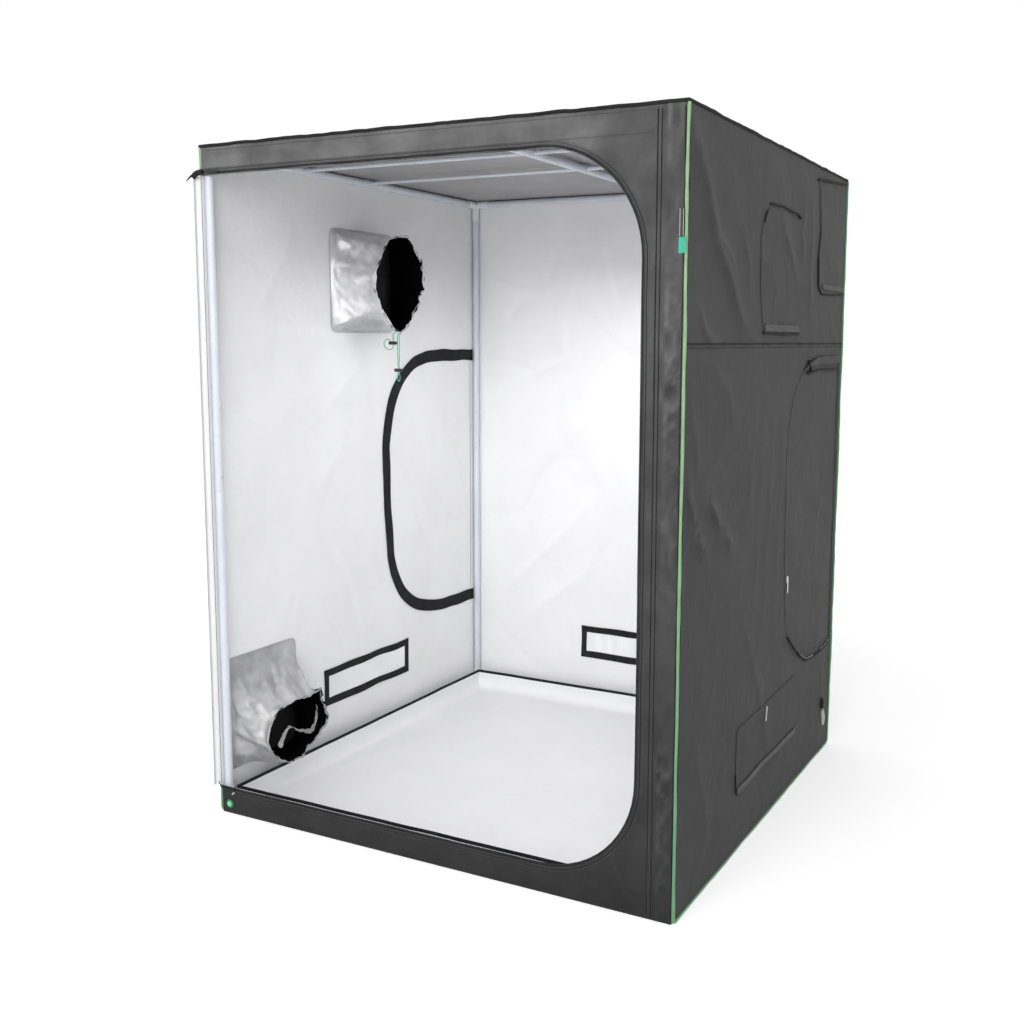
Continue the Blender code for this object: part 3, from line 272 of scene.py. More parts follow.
world = bpy.data.worlds.new("studio")
scene.world = world
world.use_nodes = True
sky = world.node_tree
around = sky.nodes["Background"]
around.inputs["Color"].default_value = (1, 1, 1, 1)
around.inputs["Strength"].default_value = 0.52
rays, white = studio_white(sky, "ShaderNodeBackground", 1.0)
both = add_node(sky, "ShaderNodeMixShader", {0: rays, 1: around.outputs[0], 2: white})
sky.links.new(both.outputs[0], sky.nodes["World Output"].inputs["Surface"])

bm = bmesh.new()
bmesh.ops.create_grid(bm, x_segments=1, y_segments=1, size=14)
bmesh.ops.translate(bm, vec=(0, 0, -0.001), verts=bm.verts)
studio_floor = loose_object(bm, "studio_floor")
scene.collection.objects.link(studio_floor)
paint, tree, matt, where = new_material("studio_floor", (0.9, 0.9, 0.9), 0.9)
away = add_node(tree, "ShaderNodeVectorMath", {0: where}, operation="LENGTH").outputs["Value"]
rays, white = studio_white(tree, "ShaderNodeEmission", mapped(tree, away, 2.0, 5.0, 0.42, 0.62))
lit = add_node(tree, "ShaderNodeAddShader", {0: matt.outputs[0], 1: white}).outputs[0]
both = add_node(tree, "ShaderNodeMixShader", {0: rays, 1: matt.outputs[0], 2: lit})
tree.links.new(both.outputs[0], tree.nodes["Material Output"].inputs["Surface"])
studio_floor.data.materials.append(paint)
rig.stage(studio_floor)


# Drawcord: thin braided green cord that gathers the upper left sock's mouth. One end runs
# through a barrel lock and curls back; the other is a long loop through a second lock.
def new_group(name, vector, numbers, outputs):
    """An empty node group: one vector and some numbers go in, and numbers come out."""
    group = bpy.data.node_groups.new(name, "ShaderNodeTree")
    face = group.interface
    face.new_socket(vector, in_out="INPUT", socket_type="NodeSocketVector")
    for label, value in numbers.items():
        socket = face.new_socket(label, in_out="INPUT", socket_type="NodeSocketFloat")
        socket.default_value = value
    for label in outputs:
        face.new_socket(label, in_out="OUTPUT", socket_type="NodeSocketFloat")
    start = group.nodes.new("NodeGroupInput")
    end = group.nodes.new("NodeGroupOutput")
    return group, start.outputs, end.inputs


def use_group(tree, group, feeds):
    """Places a group in a material."""
    return add_node(tree, "ShaderNodeGroup", feeds, node_tree=group).outputs


def blend_colors(tree, share, first, second):
    """A mix by a mask of two colours, each one given or taken from a node's output."""
    first, second = ((*c, 1) if isinstance(c, tuple) else c for c in (first, second))
    feeds = {0: share, 6: first, 7: second}
    return add_node(tree, "ShaderNodeMix", feeds, data_type="RGBA").outputs[2]


def scaled(tree, vector, factor):
    """A place or colour times a factor."""
    feeds = {0: vector, "Scale": factor}
    return add_node(tree, "ShaderNodeVectorMath", feeds, operation="SCALE").outputs[0]


def axes_of(tree, vector):
    """The X, Y and Z of a place."""
    return add_node(tree, "ShaderNodeSeparateXYZ", {0: vector}).outputs


def bump(tree, shader, height, depth, strength=1.0):
    """Raises the surface by a height pattern; depth is in metres."""
    feeds = {"Height": height, "Distance": depth, "Strength": strength}
    node = add_node(tree, "ShaderNodeBump", feeds)
    tree.links.new(node.outputs[0], shader.inputs["Normal"])


strands, given, result = new_group(
    "braid", "Along", {"Around": 3.0, "Per metre": 300.0}, ["Height"]
)
axes = axes_of(strands, given["Along"])
turns = sums(strands, "MULTIPLY", axes[0], given["Around"])
steps = sums(strands, "MULTIPLY", axes[1], given["Per metre"])
leans = [sums(strands, way, turns, steps) for way in ("ADD", "SUBTRACT")]
ridges = [sums(strands, "SINE", sums(strands, "MULTIPLY", lean, math.tau)) for lean in leans]
strands.links.new(sums(strands, "MAXIMUM", *ridges), result["Height"])


def cord_finish(name, dark, light, per_metre):
    """Braided cord, darker between its strands."""
    made, tree, shader, _ = new_material(name, dark, 0.72)
    shader.inputs["Sheen Weight"].default_value = 0.2
    run_along = add_node(tree, "ShaderNodeTexCoord").outputs["UV"]
    height = use_group(tree, strands, {"Along": run_along, "Per metre": per_metre})["Height"]
    color = blend_colors(tree, mapped(tree, height, -0.4, 0.9), dark, light)
    tree.links.new(color, shader.inputs["Base Color"])
    bump(tree, shader, height, 0.0004, 0.6)
    return made


def baked(obj, name, weld=0.00001):
    """The evaluated mesh of a loose object, welded, as a new object at the origin."""
    scene.collection.objects.link(obj)
    bpy.context.view_layer.update()
    seen = obj.evaluated_get(bpy.context.evaluated_depsgraph_get())
    mesh = bpy.data.meshes.new_from_object(seen)
    mesh.transform(obj.matrix_world)
    bm = bmesh.new()
    bm.from_mesh(mesh)
    bmesh.ops.remove_doubles(bm, verts=bm.verts, dist=weld)
    bmesh.ops.recalc_face_normals(bm, faces=bm.faces)
    bm.to_mesh(mesh)
    bm.free()
    mesh.name = name
    bpy.data.objects.remove(obj)
    made = bpy.data.objects.new(name, mesh)
    scene.collection.objects.link(made)
    return made


def smoothed(obj, angle=0.6):
    """Smooth shading, with creases kept at the sharper edges."""
    bm = bmesh.new()
    bm.from_mesh(obj.data)
    for face in bm.faces:
        face.smooth = True
    for edge in bm.edges:
        edge.smooth = len(edge.link_faces) == 2 and edge.calc_face_angle(0) < angle
    bm.to_mesh(obj.data)
    bm.free()
    return obj


def tube(name, points, radius, closed=False, flat=0.0, matrix=None, swell=None):
    """A round or flattened length along points; its UV map runs along it in metres.

    The shares in swell, one for each point, thicken or thin it."""
    curve = bpy.data.curves.new(name, "CURVE")
    curve.dimensions = "3D" if matrix is None else "2D"
    curve.bevel_depth = radius
    curve.bevel_resolution = 3
    curve.extrude = flat
    curve.use_fill_caps = not closed and flat == 0
    spline = curve.splines.new("POLY")
    spline.points.add(len(points) - 1)
    for k, (point, co) in enumerate(zip(spline.points, points)):
        point.co = (co[0], co[1], co[2] if len(co) > 2 else 0, 1)
        point.radius = swell[k] if swell else 1
    spline.use_cyclic_u = closed
    obj = bpy.data.objects.new(name, curve)
    if matrix is not None:
        obj.matrix_world = matrix
    made = baked(obj, name)
    length = sum((Vector(b) - Vector(a)).length for a, b in zip(points, points[1:]))
    layer = made.data.uv_layers[0].data
    for corner in layer:
        corner.uv = (corner.uv[0], corner.uv[1] * length)
    return smoothed(made)


def dress(obj, body, slot, *materials):
    """Gives a finished piece its materials, its body and its slot in the record."""
    for k, made in enumerate(materials):
        if k < len(obj.data.materials):
            obj.data.materials[k] = made
        else:
            obj.data.materials.append(made)
    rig.ride(obj, body)
    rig.slot(obj, slot)
    return obj


def smooth_path(points, step):
    """Points at even steps on a smooth curve through the given ones."""
    points = [Vector(point) for point in points]
    ends = [2 * points[0] - points[1]] + points + [2 * points[-1] - points[-2]]
    fine = []
    for before, start, end, after in zip(ends, ends[1:], ends[2:], ends[3:]):
        for k in range(12):
            t = k / 12
            curl = 2 * before - 5 * start + 4 * end - after
            twist = after - before + 3 * (start - end)
            fine.append((2 * start + (end - before) * t + curl * t * t + twist * t**3) / 2)
    fine.append(points[-1])
    length = sum((b - a).length for a, b in zip(fine, fine[1:]))
    count = max(2, round(length / step))
    even, walked, goal = [fine[0]], 0.0, length / count
    for a, b in zip(fine, fine[1:]):
        span = (b - a).length
        while span > 0 and walked + span >= goal * len(even) and len(even) < count:
            even.append(a.lerp(b, (goal * len(even) - walked) / span))
        walked += span
    return even + [fine[-1]], length


loop_route = [(-0.612, -0.009, z) for z in (1.4632, 1.456, 1.447, 1.438, 1.43)]
loop_route += [(-0.6122, -0.0105, 1.4235), (-0.614, -0.0155, 1.418), (-0.618, -0.0235, 1.416)]
loop_route += [(-0.6222, -0.0325, 1.4185), (-0.6252, -0.0395, 1.4255), (-0.6262, -0.0425, 1.435)]
loop_route += [(-0.6248, -0.0405, 1.4445), (-0.6212, -0.0345, 1.4505), (-0.6168, -0.027, 1.4505)]
loop_route += [(-0.6135, -0.0205, 1.4455)]
hem_route = [(-0.612, -0.009, 1.4628), (-0.609, -0.012, 1.4685), (-0.602, -0.014, 1.474)]
hem_route += [(-0.592, -0.013, 1.4775), (-0.585, -0.009, 1.476), (-0.586, -0.005, 1.471)]
hem_route += [(-0.591, -0.006, 1.4665), (-0.594, -0.009, 1.4632)]
tail_middle = -0.59
tail_down = [(-0.594, 1.4638), (-0.5938, 1.452), (-0.5936, 1.43), (-0.5932, 1.405)]
tail_down += [(-0.5928, 1.38), (-0.5924, 1.355), (-0.5924, 1.345), (-0.5926, 1.336)]
tail_down += [(-0.5944, 1.3265), (-0.5952, 1.3175), (-0.5932, 1.3098)]
tail_up = [(round(2 * tail_middle - x, 4), z) for x, z in reversed(tail_down)]
tail_route = [(x, -0.009, z) for x, z in [*tail_down, (tail_middle, 1.3072), *tail_up]]
green_cord = cord_finish("green_cord", (0.02, 0.24, 0.13), (0.07, 0.52, 0.3), 260)
in_hem, _ = smooth_path(hem_route, 0.0015)
dress(tube("drawcord_in_hem", in_hem, 0.0016), "tent", "green_cord", green_cord)
for name, route, far_end, carried in (
    ("drawcord_loop", loop_route, "bare", ("cord_lock_upper", "lock_plunger_upper")),
    ("drawcord_tail", tail_route, "object", ("cord_lock_lower", "lock_plunger_lower")),
):
    path, length = smooth_path(route, 0.0025)
    piece = tube(f"{name}_braid", path, 0.0015)
    dress(piece, "tent", "green_cord", green_cord)
    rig.replaces(piece, name)
    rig.cord(
        piece,
        exit=route[0],
        length=length,
        diameter=0.003,
        far_end=far_end,
        stiffness="limp",
        lay="hanging",
        path=path,
        with_pieces=[frame["nodes"][node] for node in carried],
    )

# Cord locks, snap buttons: moulded black barrels with a sprung plunger, and domed steel
# pins that click through the posts. They keep their solid shapes from the frame.
blotch, given, result = new_group("blotches", "Vector", {"Scale": 20.0}, ["Mask"])
feeds = {"Vector": given["Vector"], "Scale": given["Scale"], "Detail": 5.0, "Roughness": 0.6}
cloud = add_node(blotch, "ShaderNodeTexNoise", feeds).outputs[0]
blotch.links.new(mapped(blotch, cloud, 0.35, 0.65), result["Mask"])


def plain_finish(name, color, other, roughness, metallic=0.0, scale=60.0, grain=0.0001):
    """A moulded, painted or metal finish, a little uneven in colour and gloss."""
    made, tree, shader, where = new_material(name, color, roughness, metallic)
    mask = use_group(tree, blotch, {"Vector": where, "Scale": scale})["Mask"]
    tree.links.new(blend_colors(tree, mask, color, other), shader.inputs["Base Color"])
    gloss = mapped(tree, mask, 0.0, 1.0, roughness * 0.85, roughness * 1.15)
    tree.links.new(gloss, shader.inputs["Roughness"])
    feeds = {"Vector": where, "Scale": scale * 12, "Detail": 2.0}
    bump(tree, shader, add_node(tree, "ShaderNodeTexNoise", feeds).outputs[0], grain)
    return made


black_plastic = plain_finish("black_plastic", (0.012, 0.012, 0.013), (0.03, 0.03, 0.032), 0.38)
steel = plain_finish("button_steel", (0.55, 0.55, 0.56), (0.42, 0.42, 0.43), 0.3, 1.0)
for name, node in frame["nodes"].items():
    if name.startswith(("cord_lock", "lock_plunger")):
        node.material_slots[0].material = black_plastic
    if name.startswith("snap_button"):
        node.material_slots[0].material = steel

# Poles: white powder-coated steel tube, 25 mm across. Each post is two lengths, the lower
# one swaged to slide into the upper, and each is one smooth piece here.
pole_paint = plain_finish(
    "pole_paint", (0.66, 0.69, 0.76), (0.6, 0.63, 0.7), 0.32, 0.0, 9.0, 0.00006
)
pole_radius, bar_radius = 0.0125, 0.006
joint_height, joint_gap = 1.0, 0.0003


def rod(bm, radius, start, end, rounding=0.0008, sides=40):
    """Adds a smooth round rod with softened ends to a bmesh."""
    start, end = Vector(start), Vector(end)
    length = (end - start).length
    made = bmesh.ops.create_cone(
        bm, cap_ends=True, segments=sides, radius1=radius, radius2=radius, depth=length
    )
    verts = made["verts"]
    edges = {edge for vert in verts for edge in vert.link_edges}
    rims = [edge for edge in edges if abs(edge.verts[0].co.z - edge.verts[1].co.z) < 1e-6]
    made = bmesh.ops.bevel(
        bm, geom=rims, offset=rounding, segments=3, profile=0.5, affect="EDGES", material=-1
    )
    verts = {vert for vert in verts if vert.is_valid} | set(made["verts"])
    turn = (end - start).to_track_quat("Z", "Y").to_matrix().to_4x4()
    placing = Matrix.Translation((start + end) / 2) @ turn
    bmesh.ops.transform(bm, matrix=placing, verts=list(verts))


def from_bmesh(bm, name):
    """A smooth piece at the origin from a finished bmesh."""
    bmesh.ops.recalc_face_normals(bm, faces=bm.faces)
    made = loose_object(bm, name)
    scene.collection.objects.link(made)
    return smoothed(made)


def middle(node):
    """The low corner, high corner and centre of a node."""
    low, high = (Vector(corner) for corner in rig.box(node))
    return low, high, (low + high) / 2


for name in list(frame["nodes"]):
    if not (name.startswith("post_") or "_rail_" in name):
        continue
    low, high, centre = middle(name)
    size = high - low
    axis = max(range(3), key=lambda k: size[k])
    start, end = centre.copy(), centre.copy()
    start[axis], end[axis] = low[axis], high[axis]
    bm = bmesh.new()
    if name.endswith("_lower"):
        end[axis] = joint_height - joint_gap
    rod(bm, pole_radius, start, end)
    piece = dress(from_bmesh(bm, f"{name}_tube"), "tent", "white_pole", pole_paint)
    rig.replaces(piece, name)

strap_width = 0.026
strap_low, strap_high = pole_radius + 0.0003, pole_radius + 0.0023


def saddle(bm, axis, centre, start, end):
    """Adds a bent steel strap that hooks over a pole; angles go round the pole's axis."""
    across = X if axis == Y else Y
    corners = ((-1, strap_low), (1, strap_low), (1, strap_high), (-1, strap_high))
    first = [
        Vector(centre) + axis * side * strap_width / 2 + across * reach for side, reach in corners
    ]
    face = bm.faces.new([bm.verts.new(point) for point in first])
    spun_axis = -axis if axis == Y else axis
    turn = Matrix.Rotation(math.radians(start), 3, spun_axis)
    bmesh.ops.rotate(bm, cent=centre, matrix=turn, verts=face.verts)
    bmesh.ops.spin(
        bm,
        geom=[face, *face.edges, *face.verts],
        cent=centre,
        axis=spun_axis,
        angle=math.radians(end - start),
        steps=28,
        use_duplicate=False,
    )


# The centre pole and the two cross bars end just short of the poles that their straps hook.
rail_z = middle("top_rail_left")[2].z
rail_x = middle("top_rail_right")[2].x
rail_y = middle("top_rail_back")[2].y
spine_x = middle("centre_pole")[2].x
clear = 0.0138
first_hook, middle_hook, last_hook = (-15, 130), (-15, 195), (50, 195)
bm = bmesh.new()
rod(bm, pole_radius, (spine_x, clear - rail_y, rail_z), (spine_x, rail_y - clear, rail_z))
saddle(bm, X, (spine_x, -rail_y, rail_z), *first_hook)
saddle(bm, X, (spine_x, rail_y, rail_z), *last_hook)
piece = dress(from_bmesh(bm, "centre_pole_tube"), "tent", "white_pole", pole_paint)
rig.replaces(piece, "centre_pole")
for name in ("cross_bar_front", "cross_bar_rear"):
    y = middle(name)[2].y
    bm = bmesh.new()
    for start, end in ((clear - rail_x, spine_x - clear), (spine_x + clear, rail_x - clear)):
        rod(bm, bar_radius, (start, y, rail_z), (end, y, rail_z), 0.0003, 24)
    saddle(bm, Y, (-rail_x, y, rail_z), *first_hook)
    saddle(bm, Y, (spine_x, y, rail_z), *middle_hook)
    saddle(bm, Y, (rail_x, y, rail_z), *last_hook)
    piece = dress(from_bmesh(bm, f"{name}_tube"), name, "white_pole", pole_paint)
    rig.replaces(piece, name)

# Corner fittings: white moulded elbows with three sockets, one at each corner of the frame.
# Each is a ball with three sleeves, and each sleeve has a thicker lip at its mouth.
fitting_plastic = plain_finish(
    "fitting_plastic", (0.76, 0.78, 0.81), (0.7, 0.72, 0.76), 0.42, 0.0, 30.0
)
for name in [n for n in frame["nodes"] if n.startswith("corner_")]:
    low, high, centre = middle(name)
    inward = Vector([-1 if c > 0 else 1 for c in centre])
    inward.z = -1 if centre.z > 1 else 1
    ball = Vector([low[k] + 0.015 if inward[k] > 0 else high[k] - 0.015 for k in range(3)])
    bm = bmesh.new()
    made = bmesh.ops.create_uvsphere(bm, u_segments=32, v_segments=20, radius=0.0148)
    bmesh.ops.translate(bm, vec=ball, verts=made["verts"])
    for axis, sign in zip((X, Y, Z), inward):
        rod(bm, 0.0144, ball, ball + axis * sign * 0.06, 0.0006, 32)
        rod(bm, 0.015, ball + axis * sign * 0.054, ball + axis * sign * 0.0601, 0.001, 32)
    piece = dress(from_bmesh(bm, f"{name}_elbow"), "tent", "corner_fitting", fitting_plastic)
    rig.replaces(piece, name)


# Floor tray: a loose white tray of coated canvas inside the bottom rails, with its low
# walls folded up and a black binding sewn round the rim.
weave, given, result = new_group("weave", "Vector", {"Threads": 700.0}, ["Height"])
axes = axes_of(weave, scaled(weave, given["Vector"], given["Threads"]))
waves = [sums(weave, "SINE", sums(weave, "MULTIPLY", axis, math.pi)) for axis in axes]
crossings = [sums(weave, "MULTIPLY", waves[k], waves[(k + 1) % 3]) for k in range(3)]
over = sums(weave, "ADD", sums(weave, "ADD", crossings[0], crossings[1]), crossings[2])
weave.links.new(over, result["Height"])

creases, given, result = new_group("creases", "Vector", {"Scale": 3.0}, ["Height"])
crease_bend = 0.6
feeds = {"Vector": given["Vector"], "Scale": given["Scale"], "Detail": 2.0}
bent = add_node(creases, "ShaderNodeTexNoise", feeds).outputs[1]
feeds = {0: given["Vector"], 1: scaled(creases, bent, crease_bend)}
moved = add_node(creases, "ShaderNodeVectorMath", feeds, operation="ADD").outputs[0]
feeds = {"Vector": moved, "Scale": given["Scale"], "Detail": 6.0, "Roughness": 0.55}
soft = add_node(creases, "ShaderNodeTexNoise", feeds).outputs[0]
creases.links.new(soft, result["Height"])


def cloth_finish(
    name, color, worn, roughness, threads, crease_scale, crease_depth,
    sheen=0.0, fold_shading=0.1, specular=0.5,
):
    """Coated cloth: a fine weave, handling creases, and colour that varies softly.

    Its colour carries painted light and shade: paler where its folds stand proud or face the upper left, darker beside
    them and where they face away, by the given share."""
    made, tree, shader, where = new_material(name, color, roughness)
    shader.inputs["Sheen Weight"].default_value = sheen
    shader.inputs["Specular IOR Level"].default_value = specular
    mask = use_group(tree, blotch, {"Vector": where, "Scale": crease_scale * 1.7})["Mask"]
    # Painted light and shade on the folds, from the fold tone that each point stores.
    fold_tone = add_node(tree, "ShaderNodeAttribute", attribute_name="fold").outputs["Fac"]
    fold_tone = sums(tree, "ADD", sums(tree, "MULTIPLY", fold_tone, fold_shading), 1.0)
    base = blend_colors(tree, mask, color, worn)
    base = scaled(tree, base, sums(tree, "MAXIMUM", fold_tone, 0.25))
    tree.links.new(base, shader.inputs["Base Color"])
    gloss = mapped(tree, mask, 0.0, 1.0, roughness * 0.92, roughness * 1.08)
    tree.links.new(gloss, shader.inputs["Roughness"])
    grid = use_group(tree, weave, {"Vector": where, "Threads": threads})["Height"]
    fine = add_node(tree, "ShaderNodeBump", {"Height": grid, "Distance": 0.0001}).outputs[0]
    folds = use_group(tree, creases, {"Vector": where, "Scale": crease_scale})["Height"]
    feeds = {"Height": folds, "Distance": crease_depth, "Normal": fine}
    big = add_node(tree, "ShaderNodeBump", feeds)
    tree.links.new(big.outputs[0], shader.inputs["Normal"])
    return made


tray_white = cloth_finish(
    "tray_white", (0.86, 0.86, 0.87), (0.83, 0.83, 0.84), 0.4, 500, 2.2, 0.007
)
binding_black = cloth_finish(
    "binding_black", (0.009, 0.009, 0.01), (0.02, 0.02, 0.021), 0.7, 900, 12, 0.0006,
    specular=0.15,
)


def waver(point, scale, seed):
    """A smooth, repeatable noise value, from -1 to 1."""
    return noise.noise(Vector(point) * scale + Z * seed)


def eased(value):
    """A smooth step from 0 to 1."""
    value = max(0.0, min(1.0, value))
    return value * value * (3 - 2 * value)


def thickened(sheet, name, thickness, angle=0.6, inside=0):
    """A loose sheet given its thickness; its inner face takes a later material, by inside."""
    wall = sheet.modifiers.new("thickness", "SOLIDIFY")
    wall.thickness = thickness
    wall.offset = 0
    wall.material_offset = inside
    return smoothed(baked(sheet, name), angle)


low, high, centre = middle("floor_tray")
reach = high.x - 0.002
turn_up = 0.034
cells = 104


def crowded(value):
    """Moves a grid line towards the tray's edge, so that the turned-up fold is fine enough."""
    left = (1 - abs(value) / reach) / 0.2
    if left >= 1:
        return value
    return math.copysign(reach * (1 - 0.2 * left * (0.35 + 0.65 * left)), value)


bm = bmesh.new()
bmesh.ops.create_grid(bm, x_segments=cells, y_segments=cells, size=reach)
rim = [edge for edge in bm.edges if edge.is_boundary]
for vert in bm.verts:
    x, y = crowded(vert.co.x), crowded(vert.co.y)
    edge = reach - max(abs(x), abs(y))
    fold = min(turn_up, max(0, turn_up - edge))
    lying = eased((edge - turn_up) / 0.07)
    long_wave = waver((x * 0.6 + y * 0.5, y - x * 0.4, 0), 2.6, 4)
    ridge = 1 - 2 * abs(waver((x * 0.5 - y * 0.3, y + x * 0.3, 0), 3.4, 9))
    ripple = 0.0022 * (1 + long_wave) + 0.0016 * max(0, ridge) ** 3
    vert.co = (x, y, 0.0012 + lying * ripple + turn_up - math.sqrt(turn_up**2 - fold**2))
for rise in (0.012, 0.0235):
    made = bmesh.ops.extrude_edge_only(bm, edges=rim)
    raised = [v for v in made["geom"] if isinstance(v, bmesh.types.BMVert)]
    rim = [e for e in made["geom"] if isinstance(e, bmesh.types.BMEdge)]
    rim = [e for e in rim if all(v in set(raised) for v in e.verts)]
    bmesh.ops.translate(bm, vec=(0, 0, rise), verts=raised)
bmesh.ops.recalc_face_normals(bm, faces=bm.faces)
bmesh.ops.reverse_faces(bm, faces=bm.faces[:])
bmesh.ops.translate(bm, vec=(0, 0, low.z), verts=bm.verts)
tray_name = "floor_tray_sheet"
tray = thickened(loose_object(bm, tray_name), tray_name, 0.0012, 0.9)
dress(tray, "tent", "white_lining", tray_white)
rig.replaces(tray, "floor_tray")
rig.sheet(tray, flat=(1.57, 1.57), held="laid", rests_on=["groundsheet"])

rim_path = []
for k in range(240):
    share = k / 240 * 4
    side, along = int(share), (share % 1) * 2 - 1
    a, b = reach, reach * along
    rim_path.append(((b, -a), (a, b), (-b, a), (-a, -b))[side])
rim_plane = Matrix.Translation((0, 0, high.z - 0.0058))
binding = tube("floor_tray_binding", rim_path, 0.0013, closed=True, flat=0.0042, matrix=rim_plane)
for vert in binding.data.vertices:
    vert.co.z += 0.0012 * waver(vert.co, 9, 1)
dress(binding, "tent", "white_lining", binding_black)


# Outer shell cloth: heavy charcoal canvas outside and white coating inside. Every wall is
# one panel with its openings cut out, pulled flat by the poles but never quite smooth.
canvas = cloth_finish(
    "charcoal_canvas", (0.035, 0.035, 0.0353), (0.062, 0.062, 0.0625), 0.6, 650, 3.6, 0.008,
    0.03, 1.3, 0.16,
)
# Painted light and shade: a factor that scales the canvas colour, darker low down, paler higher up and paler still
# along the header's left part.
fading, given, result = new_group("fading", "Vector", {}, ["Factor"])
across, deep, up = axes_of(fading, given["Vector"])
at_front = sums(fading, "LESS_THAN", deep, -0.7435)
by_height = mapped(fading, up, 0.0, 2.0, 0.56, 1.04)
on_front = mapped(fading, up, 0.0, 2.0, 0.46, 1.6)
along = mapped(fading, across, 0.64, 0.36, 0.0, 0.6)
header = mapped(fading, up, 1.87, 1.92)
lifted = sums(fading, "ADD", sums(fading, "MULTIPLY", along, header), 1.0)
front_share = sums(fading, "MULTIPLY", sums(fading, "MULTIPLY", on_front, lifted), at_front)
other_share = sums(fading, "MULTIPLY", sums(fading, "SUBTRACT", 1.0, at_front), by_height)
fading.links.new(sums(fading, "ADD", front_share, other_share), result["Factor"])

# Painted light and shade: the canvas colour is scaled darker low down and paler higher up, most steeply on the front,
# and paler still along the header towards its left.
tree = canvas.node_tree
base_color = tree.nodes["Principled BSDF"].inputs["Base Color"]
where = add_node(tree, "ShaderNodeTexCoord").outputs["Object"]
factor = use_group(tree, fading, {"Vector": where})["Factor"]
tree.links.new(scaled(tree, base_color.links[0].from_socket, factor), base_color)
lining = cloth_finish(
    "white_lining", (0.86, 0.86, 0.87), (0.82, 0.82, 0.835), 0.45, 500, 2.2, 0.009, 0.0, 0.2
)
# Painted shade: the roof's lining is the same white coating, given a grey colour here for the shade under the roof.
roof_lining = cloth_finish(
    "roof_lining", (0.33, 0.32, 0.32), (0.29, 0.28, 0.28), 0.45, 500, 2.2, 0.009
)
half = 0.75
cloth = 0.002
wall_edge, wall_top = 0.7434, 1.9934


def facing_x(x):
    """A plane square to X: outlines are drawn in Y and Z."""
    matrix = Matrix((Y, Z, X)).transposed().to_4x4()
    matrix.translation = (x, 0, 0)
    return matrix


def facing_y(y):
    """A plane square to Y: outlines are drawn in X and Z."""
    matrix = Matrix((X, Z, -Y)).transposed().to_4x4()
    matrix.translation = (0, y, 0)
    return matrix


def arc(centre, radius, start, end, steps=16):
    """Points along an arc, ends included; angles in degrees, counter-clockwise."""
    angles = [math.radians(start + (end - start) * step / steps) for step in range(steps + 1)]
    return [(centre[0] + radius * math.cos(a), centre[1] + radius * math.sin(a)) for a in angles]


def rectangle(low, high, radius=0.0):
    """A rectangular outline, with round corners if a radius is given."""
    if radius == 0:
        return [low, (high[0], low[1]), high, (low[0], high[1])]
    right, left = high[0] - radius, low[0] + radius
    top, bottom = high[1] - radius, low[1] + radius
    points = arc((right, top), radius, 0, 90, 6) + arc((left, top), radius, 90, 180, 6)
    points += arc((left, bottom), radius, 180, 270, 6)
    return points + arc((right, bottom), radius, 270, 360, 6)


def prism(outlines, thickness, name):
    """A flat-sided piece cut to its outlines, holes included, about the XY plane."""
    curve = bpy.data.curves.new(name, "CURVE")
    curve.dimensions = "2D"
    curve.fill_mode = "BOTH"
    curve.extrude = thickness / 2
    for outline in outlines:
        spline = curve.splines.new("POLY")
        spline.points.add(len(outline) - 1)
        for point, (across, up) in zip(spline.points, outline):
            point.co = (across, up, 0, 1)
        spline.use_cyclic_u = True
    return baked(bpy.data.objects.new(name, curve), name)


def cut_panel(name, outlines, thickness, matrix, outward, lift, cell=0.02, inner=1):
    """Cloth cut to outlines and gridded, with lift(u, v) pushing it out of its plane.

    Faces on the outward side take the first material and those inside the second."""
    across, up = zip(*outlines[0])
    low = Vector((min(across), min(up)))
    high = Vector((max(across), max(up)))
    size = high - low
    bm = bmesh.new()
    columns, rows = (max(2, math.ceil(side / cell)) for side in size)
    bmesh.ops.create_grid(bm, x_segments=columns, y_segments=rows, size=0.5)
    bmesh.ops.scale(bm, vec=(size.x + 0.004, size.y + 0.004, 1), verts=bm.verts)
    centre = (low + high) / 2
    bmesh.ops.translate(bm, vec=(centre.x, centre.y, -thickness / 2), verts=bm.verts)
    made = bmesh.ops.extrude_face_region(bm, geom=bm.faces[:])
    raised = [item for item in made["geom"] if isinstance(item, bmesh.types.BMVert)]
    bmesh.ops.translate(bm, vec=(0, 0, thickness), verts=raised)
    bmesh.ops.recalc_face_normals(bm, faces=bm.faces)
    panel = loose_object(bm, name)
    cutter = prism(outlines, thickness * 3, f"{name}_cutter")
    trim = panel.modifiers.new("trim", "BOOLEAN")
    trim.operation = "INTERSECT"
    trim.solver = "EXACT"
    trim.object = cutter
    panel = baked(panel, name)
    bpy.data.objects.remove(cutter)
    for face in panel.data.polygons:
        face.material_index = inner if face.normal.z * outward < -0.5 else 0
    for vert in panel.data.vertices:
        vert.co.z += outward * lift(vert.co.x, vert.co.y)
    paint_fold_tones(panel.data)
    panel.data.transform(matrix)
    return smoothed(panel)


